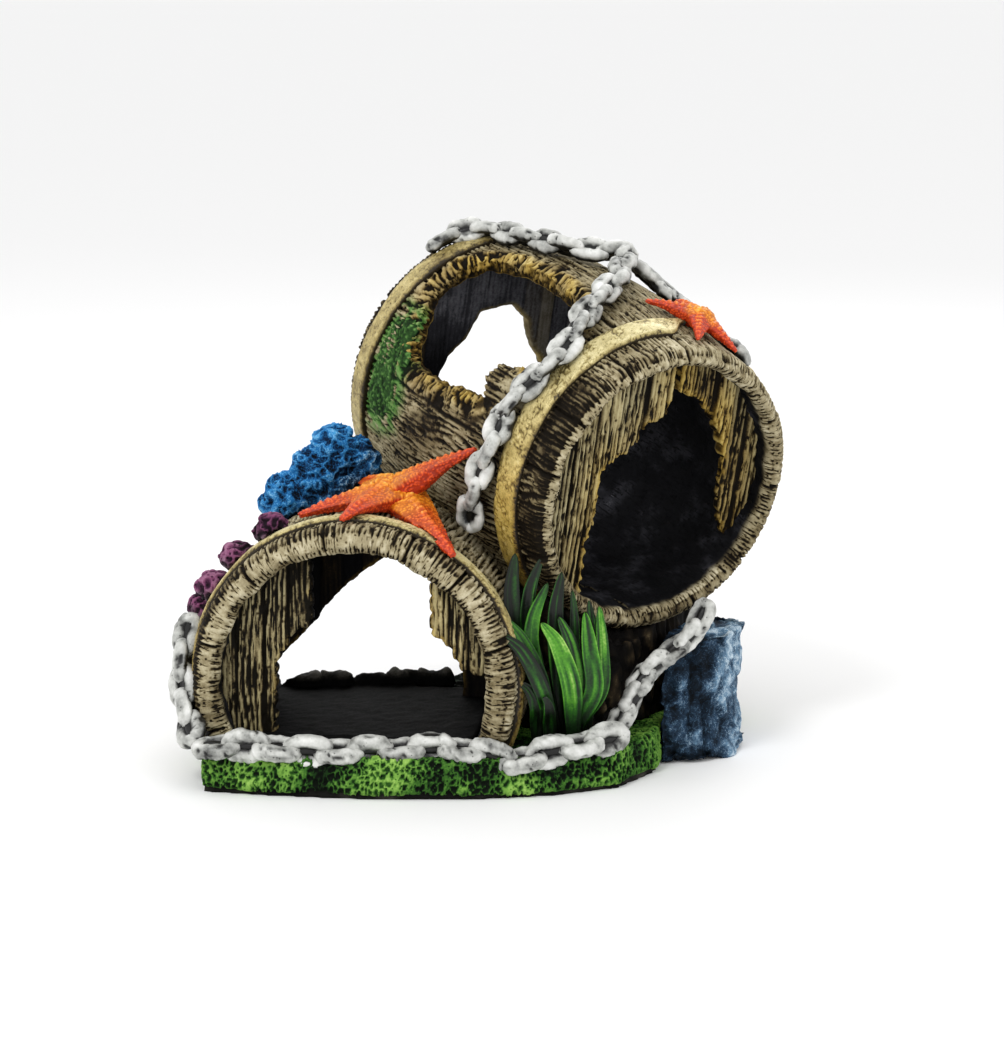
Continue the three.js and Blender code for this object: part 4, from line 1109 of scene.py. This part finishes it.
def make_blue_coral():
    points, faces = remeshed("blue_coral", 0.32, 8)
    lumps = rough(points, 5, 41)
    worms = wormy(points, 1.25, 42)
    buds = ramp(scattered(points, 3.6, 47)[0], 0.85, 0.2)
    height = 0.5 * lumps + 0.5 * worms + 1.1 * buds - 0.8
    low_right = share_of(points[:, 0]) - 0.9 * share_of(points[:, 2])
    add_piece("blue_coral_head", "blue_coral", blue, raised(points, faces, height), faces,
              height=0.1 + 0.3 * worms + 0.2 * lumps + 0.22 * buds,
              shaded=ramp(low_right + 0.25 * noise(points, 5, 46), -0.05, 0.55))


def make_mauve_coral():
    for number in range(1, 5):
        node = f"mauve_coral_{number}"
        points, faces = remeshed(node, 0.36, 4)
        lumps = rough(points, 3.5, 50 + number)
        worms = wormy(points, 1.3, 60 + number)
        up_left = share_of(points[:, 2]) + 0.35 * (1 - share_of(points[:, 0]))
        add_piece(f"{node}_knob", node, mauve, raised(points, faces, 0.5 * lumps + 0.6 * worms - 0.2),
                  faces, height=0.15 + 0.42 * worms + 0.2 * lumps,
                  centre=ramp(up_left + 0.4 * noise(points, 2.5, 70), 0.4, 1.0))


def make_moss():
    """A patch of tufts on the big barrel, thinner towards its edge."""
    pitch = 0.42
    line = jagged(on_arc(MOSS_OUTLINE), 0.4, waves((0.9, 3, 81), (0.5, 1, 82)))
    low, high = line.min(0) - 1, line.max(0) + 1
    grids = np.meshgrid(*(np.arange(low[k], high[k], pitch) for k in range(2)), indexing="ij")
    depth, arc = (grid.ravel() for grid in grids)
    distance, _, _, inside = to_outline(np.stack([depth, arc], 1), line)
    keep = without_pinches(corner_count(inside.reshape(grids[0].shape)) > 2)
    degrees = np.degrees(arc / ARC_RADIUS)
    place = big.on(depth, degrees)
    nearest, _, value = scattered(place, 0.95, 83)
    tuft = ramp(nearest, 0.6, 0.1) * (0.5 + 0.5 * value)
    height = 0.1 + 0.95 * tuft * ramp(distance, 0.2, 2.2) + 0.3 * noise(place, 4, 86)
    height = mix(-0.9, height, ramp(distance, 0, 1.5))
    outer, inner = (big.on(depth, degrees, rise).reshape(*grids[0].shape, 3) for rise in (height, -1.6))
    points, faces, origin, share = slab(outer, inner, keep, strips=1)
    level = 0.22 + 0.55 * tuft + 0.15 * noise(place, 3, 87)
    add_piece("moss_tufts", "moss_patch", moss, points, faces, height=level[origin] * (share == 0))


# ---- starfish ---------------------------------------------------------------------------


def beaded_star(name, node, centre, tips, pitch, bead, reach, swell, seed):
    """A starfish with beaded skin and a row of knobs along the crest of each arm. Reach is the
    share of an arm that is yellow, and swell is how much its body is filled out, in mm."""
    points, faces = remeshed(node, pitch, 6)
    beads = ramp(scattered(points, bead, seed)[0], 0.62, 0.12)
    crest, far = np.zeros(len(points)), np.zeros(len(points))
    best = np.full(len(points), FAR)
    for tip in tips:
        arm = tip - centre
        share = np.clip(((points - centre) @ arm) / (arm @ arm), 0, 1)
        away = np.linalg.norm(points - (centre + share[:, None] * arm), axis=1)
        walk = share * np.linalg.norm(arm)
        aside = np.abs((points - centre) @ unit(np.cross(arm, [0, -0.35, 1])))
        knobs = 0.5 + 0.5 * np.cos(2 * np.pi * walk / (bead * 3))
        closer = away < best
        crest = np.where(closer, knobs * ramp(aside, 1.9 * bead, 0.6 * bead), crest)
        far = np.where(closer, share, far)
        best = np.minimum(best, away)
    up = normals_of(points, faces)[:, 2]
    crest *= ramp(up, 0.35, 0.95)
    height = 0.3 * bead * (beads - 0.3) + 0.8 * bead * crest * ramp(far, 1.0, 0.7)
    height += swell * ramp(far, 0.75, 0.0)
    glow = ramp(far + 0.2 * noise(points, 4, seed + 5), reach, 0.1) * ramp(up, -0.3, 0.5)
    glow = np.maximum(glow, 0.6 * crest * ramp(far, 0.95, 0.3))
    add_piece(name, node, orange, raised(points, faces, height), faces,
              height=0.26 + 0.38 * beads + 0.2 * crest, centre=glow)


def make_starfish():
    tips = [small.on(12, -21, 1.8), small.on(1.5, -3, 1.6), small.on(1, 37, 1.8),
            np.array([-5.8, -22.5, 73.5]) + SHIFT, small.on(40, -8, 2.2)]
    beaded_star("starfish_large_body", "starfish_large", small.on(22, 9, 2.6), tips,
                pitch=0.22, bead=0.58, reach=0.8, swell=1.1, seed=101)
    tips = [big.on(*place, 1.8) for place in ((21, 4), (3, 8), (2, 26), (14, 36), (25, 22))]
    beaded_star("starfish_small_body", "starfish_small", big.on(13, 19, 2.6), tips,
                pitch=0.2, bead=0.5, reach=0.45, swell=0.5, seed=105)


# ---- leaves -----------------------------------------------------------------------------

# Each leaf is a line of points from its root to its tip, its widest half width and its painted light:
# the low leaves and those at the back of a clump are painted darker, as shade.
LEAVES = {
    "leaf_clump_front": [
        ([(15.8, -34, 13.6), (15.2, -37, 23.3), (12.1, -38, 32.6), (8.6, -37, 37.3)], 2.3, 0.3),
        ([(16, -33, 13.3), (16.6, -35.5, 24), (15.2, -36, 32.1), (12.5, -35, 38.2)], 2.0, 0.2),
        ([(16.9, -33, 13.3), (20.3, -36, 21.9), (19.3, -37, 31.2), (18.2, -36, 39.5)], 2.1, 0.28),
        ([(17.8, -32, 13.5), (21.9, -34, 21.4), (22.1, -35, 30.7), (21.4, -34, 40.4)], 1.7, 0.3),
        ([(7.6, -34, 13.1), (7.5, -36, 17.8), (6.2, -36.5, 21.5), (3.8, -36, 23.7)], 1.6, 0.02),
        ([(10.4, -35, 13.4), (10.4, -37, 17.1), (9.9, -37.5, 19.5), (9, -37, 20.5)], 1.5, 0.02),
    ],
    "leaf_clump_left": [
        ([(10.7, -33, 13.3), (8.8, -37, 22.1), (4.4, -38, 31), (-0.9, -37, 35)], 1.9, 0.1),
        ([(10.3, -31.5, 13.4), (8.6, -34.5, 23.8), (4.4, -35, 33), (-0.2, -34, 38.4)], 1.7, 0.08),
        ([(11.4, -30.5, 13.1), (6.9, -33, 28), (6.8, -34, 37.3), (10.1, -33, 45.4)], 1.9, 0.18),
    ],
    "leaf_clump_rear": [
        ([(14.1, -30, 13), (12.2, -32, 30), (11.9, -33, 39.3), (13.2, -32, 47.7)], 2.1, 0.02),
        ([(15.6, -30, 13), (16, -32, 30), (15.9, -33, 38.2), (15.5, -32, 43.6)], 1.3, 0.08),
        ([(9.6, -28.5, 13), (4, -30, 31.8), (2.2, -31, 42.2), (2.9, -30, 51.5)], 2.4, -0.06),
        ([(10.8, -28.5, 13), (6.2, -30, 31.8), (6, -31.5, 42.4), (8.8, -30.5, 50.7)], 1.9, 0.06),
        ([(19, -31, 13.2), (20, -32, 23.1), (20.1, -33, 32.5), (19.2, -32, 41.3)], 1.6, 0.04),
    ],
}
LEAF_FACING = unit([0.1, -1, 0.35])


def blade(points, half_width, light, seed):
    """One strap leaf: its edges curl forward and its tip is blunt."""
    steps, sides = 64, 32
    root_x, root_y, _ = points[0]
    line, tangent = curve_through(np.array([(root_x, root_y + 0.8, TURF - 0.6), *points]) + SHIFT, steps)
    across = unit(np.cross(tangent, LEAF_FACING))
    out = np.cross(across, tangent)
    share = np.linspace(0, 1, steps)[:, None]
    turn = np.linspace(0, 2 * np.pi, sides, endpoint=False)[None]
    x = np.cos(turn) + 0 * share
    from_middle = np.abs(x)
    front = np.sin(turn) > 0
    closing = np.sqrt(np.clip(1 - (np.clip(share - 0.8, 0, 1) / 0.2) ** 2, 0.004, 1))
    width = half_width * (0.5 + 0.5 * np.sin(np.pi * np.clip(share, 0.0, 0.9))) * closing
    streaks = np.stack([x * 3, share * 9 + 0 * x, seed + 0 * x], -1).reshape(-1, 3)
    streaks = noise(streaks, (0.8, 2.4, 1), seed).reshape(x.shape)
    curl = 0.7 * from_middle**2.2 * np.where(front, 1, 0.6) - 0.3
    depth = np.sin(turn) * 0.7 * np.sqrt(closing) + curl * closing + 0.16 * streaks * front
    place = line[:, None] + across[:, None] * (x * width)[..., None] + out[:, None] * depth[..., None]
    rim = ramp(from_middle, 0.78, 0.92) * ramp(from_middle, 1.0, 0.95)
    # light is the leaf's painted light: a low number paints the leaf darker, as shade.
    level = 0.27 + light + 0.3 * streaks + 0.2 * rim
    level -= 0.1 * ramp(from_middle, 0.2, 0.05) + 0.1 * ramp(from_middle, 0.4, 0.8)
    # Painted shade: the back of each leaf, and its lower part near the root, are darker.
    level *= np.where(front, 1, 0.35) * (0.35 + 0.65 * ramp(share, 0.1, 0.45))
    return place.reshape(-1, 3), tube_faces(steps, sides), level.ravel()


def make_leaves():
    for number, (node, leaves) in enumerate(LEAVES.items()):
        seed = 200 + 20 * number
        points, faces, level = joined([blade(*one, seed + k) for k, one in enumerate(leaves)])
        add_piece(f"{node}_blades", node, leaf, points, faces, height=level)


# ---- chains -----------------------------------------------------------------------------

LINK_LENGTH, LINK_WIDTH, LINK_WIRE = 9.8, 6.6, 3.1
LINK_PITCH = 5.94
LINK_ROLL = 38  # degrees that a link leans to either side
FLAT_ROLL = 15
# Runs over the big barrel, as depth, degrees and height above the staves, and their links' lean.
RUNS_ON_BARREL = {
    "chain_top": ([
        (80.5, -27, 2), (79.5, -16, 2.6), (75, -8, 2.8), (66.5, -4, 2.8), (58.6, 0, 2.9), (51, 5, 3.2),
        (47.5, 12, 4.0), (47, 19, 5.4),
    ], LINK_ROLL),
    "chain_drape": ([
        (44, 18, 5.6), (38, 10, 4.0), (30, 1, 3.4), (22.7, -14, 3.3), (18.8, -24, 3.3), (14, -36, 3.3),
        (14, -50, 3.3), (15.8, -63, 3.3), (15.2, -73, 3.3), (16.3, -82, 3.3), (17.5, -91, 3.3),
        (19.2, -101, 3.3), (19.3, -107, 3.3),
    ], LINK_ROLL),
    "chain_shoulder": ([
        (46, 27, 3.2), (41, 33, 2.1), (34.5, 38, 1.5), (26, 42, 1.4), (17, 43, 1.5), (10, 42, 1.5),
    ], FLAT_ROLL),
}
# Runs elsewhere, as points, the way that the links face, and their size.
FREE_RUNS = {
    "chain_base": ([
        (-66, -41, 9.8), (-56, -42, 10.8), (-44, -43, 9.8), (-30, -43.5, 9.8), (-15, -43, 10.4),
        (-4, -43.5, 9.4), (2, -44, 7.6), (10, -42.5, 9.4), (20, -39, 10.6), (26, -35.5, 11.2),
    ], (0, -0.8, 0.6), 1.16),
    "chain_right": ([
        (25.5, -31, 12), (29, -27, 17), (32, -24, 22), (38, -21.5, 27), (43, -20, 31), (46, -19, 37),
    ], (0.2, -1, 0.3), 0.92),
    "chain_flank": ([
        (-70, -22, 34), (-71.5, -23, 27), (-71.5, -26, 20), (-70, -31, 14), (-68.5, -36.5, 11),
    ], (-1, -0.4, 0.2), 1.1),
}


def chain_link(centre, along, face, roll, size, seed):
    """One worn cast link: an oval ring with a lumpy, cracked and brushed skin."""
    steps, sides = 56, 16
    across = unit(np.cross(face, along))
    out = np.cross(along, across)
    angle = math.radians(roll)
    flat = math.cos(angle) * across + math.sin(angle) * out
    normal = np.cross(along, flat)
    turn = np.linspace(0, 2 * np.pi, steps, endpoint=False)
    cosine, sine = np.cos(turn), np.sin(turn)
    long_half, wide_half = (size * (whole - LINK_WIRE) / 2 for whole in (LINK_LENGTH, LINK_WIDTH))
    x = long_half * np.sign(cosine) * np.abs(cosine) ** 0.75
    y = wide_half * np.sign(sine) * np.abs(sine) ** 0.8
    line = centre + x[:, None] * along + y[:, None] * flat
    outward = unit(cosine[:, None] * wide_half * along + sine[:, None] * long_half * flat)
    ring = rings(outward[:, None], normal, sides)
    place = (line[:, None] + ring * size * LINK_WIRE / 2).reshape(-1, 3)
    ring = ring.reshape(-1, 3)
    local = (place - centre) @ np.stack([along, flat, normal], 1)
    worn = 0.55 * noise(place, 2.4, seed) + 0.45 * noise(place, 1.0, seed + 1)
    crack = ramp(np.abs(noise(local * (0.45, 1, 1), 1.5, seed + 2)), 0.12, 0.03) * ramp(worn, 0.1, -0.5)
    brushed = noise(local * (0.2, 1, 1), 1.3, seed + 3)
    place = place + ring * (0.5 * worn + 0.16 * brushed - 0.4 * crack)[:, None]
    inward = (ring @ flat) * np.sign(np.repeat(sine, sides))
    level = 0.58 + 0.3 * worn + 0.2 * brushed - 0.45 * crack
    # Painted shade: each link is darker on its side towards the surface it lies on and on the inside of
    # its ring.
    level -= 0.55 * ramp(ring @ out, 0.0, -0.7) + 0.4 * ramp(inward, -0.15, -0.8)
    return place, loop_faces(steps, sides), level


def bed(points, radius=1.2, sides=12):
    """The cast strip that a chain's links stand on, painted near black: dark wash and painted shade in
    the crevice under the links.
    """
    line, tangent = curve_through(points, int(length_of(points)))
    side = unit(np.cross(tangent, [0.1, 0.3, 1]))
    ring = rings(side[:, None], np.cross(tangent, side)[:, None], sides)
    place = (line[:, None] + ring * radius).reshape(-1, 3)
    place = place + ring.reshape(-1, 3) * (0.5 * noise(place, 2.2, 91))[:, None]
    return place, tube_faces(len(line), sides), 0.02 + 0.04 * noise(place, 1.2, 92)


def make_chain(node, points, face_at, seed, roll=LINK_ROLL, size=1.0):
    """A run of links that lean left and right in turn."""
    count = math.ceil(length_of(points) / (LINK_PITCH * size))
    line, tangent = curve_through(points, 2 * count + 1)
    parts = [bed(points)]
    for number, (centre, along) in enumerate(zip(line[1::2], tangent[1::2])):
        lean = roll if number % 2 else -roll
        parts.append(chain_link(centre, along, face_at(centre), lean, size, seed + number))
    points, faces, level = joined(parts)
    add_piece(f"{node}_links", node, silver, points, faces, height=level)


def away_from_axis(centre):
    """The way out from the big barrel's axis."""
    x, _, z = big.local(centre)
    return unit(big.turn @ np.array([x, 0, z]))


def make_chains():
    for number, (node, (run, roll)) in enumerate(RUNS_ON_BARREL.items()):
        make_chain(node, [big.on(*place) for place in run], away_from_axis, 300 + 50 * number, roll)
    for number, (node, (run, face, size)) in enumerate(FREE_RUNS.items()):
        make_chain(node, np.array(run) + SHIFT, lambda centre: unit(face), 500 + 50 * number, size=size)


# ---- air line ---------------------------------------------------------------------------


def turned(profile, pitch, origin, axis, sides=64):
    """A closed solid turned about an axis, from the (radius, along) corners of its outline."""
    axis = unit(axis)
    side = unit(np.cross(axis, [0.3, 0.2, 1]))
    ring = rings(side, np.cross(axis, side), sides)[0]
    profile, _ = walked(profile, pitch)
    place = origin + ring[:, None] * profile[None, :, :1] + axis * profile[None, :, 1:]
    return place.reshape(-1, 3), loop_faces(sides, len(profile))


def corners_of(node):
    """A CAD node's lowest and highest corners, in millimetres."""
    return (np.array(corner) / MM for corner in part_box(node))


def make_air_inlet():
    low, high = corners_of("air_inlet_barb")
    barb = [(1.2, 0), (5, 0), (5, 2.2), (2.5, 2.2), (2.4, 4.3), (3.1, 4.6), (2.3, 7.6), (3.1, 8.0),
            (2.2, 11.2), (1.2, 11.2)]
    origin = np.array([(low[0] + high[0]) / 2, low[1], (low[2] + high[2]) / 2])
    points, faces = turned(barb, 0.25, origin, (0, 1, 0))
    add_piece("air_inlet_fitting", "air_inlet_barb", plastic, points, faces,
              height=0.5 + 0.3 * rough(points, 3, 7))


def make_air_tube():
    x, y, z = big.on(58, 165, -big.wall - 0.3)
    _, shift, _ = SHIFT
    route = [(x + 8, 46 + shift, 19), (x + 6, 40 + shift, 19.5), (x + 1.5, 35.5 + shift, 26),
             (x, y, z - 8), (x, y, z)]
    line, tangent = curve_through(route, 70)
    side = unit(np.cross(tangent, [1, 0, 0.2]))
    ring = rings(side[:, None], np.cross(tangent, side)[:, None], 28)
    outer, inner = (line[:, None] + ring * radius for radius in (2.5, 1.3))
    keep = np.ones((len(line) - 1, ring.shape[1]), bool)
    points, faces, _, _ = slab(outer, inner, keep, wrap=True, strips=1)
    add_piece("air_tube_pipe", "air_tube", plastic, points, faces,
              height=0.5 + 0.3 * rough(points, 4, 8))


def make_air_stone():
    low, high = corners_of("air_stone")
    tall, radius = high[2] - low[2], (high[0] - low[0]) / 2
    profile = [(0.05, 0), (radius, 0), (radius, tall - 2), (radius - 1.5, tall - 0.4), (0.05, tall)]
    origin = np.array([*(low + high)[:2] / 2, low[2]])
    points, faces = turned(profile, 0.3, origin, (0, 0, 1), 110)
    grains = ramp(scattered(points, 0.8, 9)[0], 0.7, 0.1)
    add_piece("air_stone_block", "air_stone", mineral, raised(points, faces, 0.3 * grains - 0.25), faces,
              height=0.3 + 0.5 * grains)


# ---- floor, light and camera ------------------------------------------------------------

# In metres.
FLOOR_REACH = 60.0
LIT_SPOT = (0, 0, 0.05)
CAMERA_DISTANCE = 0.65
CAMERA_ELEVATION = 11  # degrees
CAMERA_LENS = 96.3  # millimetres, as its sensor's width is
SENSOR_WIDTH = 36
AIMED_AT = (0, 0, 52)  # a point of the design, in its millimetres


def look_at(thing, place, target):
    """Puts a light or camera in the scene and turns it to a target."""
    thing.location = place
    thing.rotation_euler = (Vector(target) - Vector(place)).to_track_quat("-Z", "Y").to_euler()
    bpy.context.scene.collection.objects.link(thing)


def add_light(name, place, size, power):
    light = bpy.data.lights.new(name, "AREA")
    light.shape, light.size, light.energy = "DISK", size, power
    look_at(bpy.data.objects.new(name, light), place, LIT_SPOT)


def make_floor():
    mesh = bpy.data.meshes.new("floor")
    corners = [(x * FLOOR_REACH, y * FLOOR_REACH, 0) for x, y in ((-1, -1), (1, -1), (1, 1), (-1, 1))]
    mesh.from_pydata(corners, [], [(0, 1, 2, 3)])
    floor = bpy.data.objects.new("floor", mesh)
    bpy.context.scene.collection.objects.link(floor)
    material = bpy.data.materials.new("pale_floor")
    material.use_nodes = True
    shader = material.node_tree.nodes["Principled BSDF"]
    shader.inputs["Base Color"].default_value = (0.93, 0.93, 0.93, 1)
    shader.inputs["Roughness"].default_value = 0.9
    mesh.materials.append(material)


def make_lights():
    scene = bpy.context.scene
    scene.view_settings.view_transform = "Standard"
    scene.world = bpy.data.worlds.new("studio")
    scene.world.use_nodes = True
    background = scene.world.node_tree.nodes["Background"]
    background.inputs["Color"].default_value = (1, 1, 1, 1)
    background.inputs["Strength"].default_value = 0.97
    add_light("key", (-0.35, -0.55, 0.75), 0.3, 2.8)
    add_light("fill", (0.6, -0.5, 0.35), 0.5, 0.5)
    add_light("back", (0.2, 0.6, 0.6), 0.4, 1.0)


def make_camera():
    camera = bpy.data.objects.new("camera", bpy.data.cameras.new("camera"))
    camera.data.lens = CAMERA_LENS
    camera.data.sensor_width = SENSOR_WIDTH
    target = (AIMED_AT + SHIFT) * MM
    elevation = math.radians(CAMERA_ELEVATION)
    back = np.array([0, -math.cos(elevation), math.sin(elevation)]) * CAMERA_DISTANCE
    look_at(camera, tuple(target + back), tuple(target))
    bpy.context.scene.camera = camera


make_floor()
make_lights()
make_camera()
make_barrels()
make_heads()
make_slab()
make_turf()
make_tunnel_floor()
make_pedestal()
make_blue_rock()
make_blue_coral()
make_mauve_coral()
make_moss()
make_starfish()
make_leaves()
make_chains()
make_air_inlet()
make_air_tube()
make_air_stone()
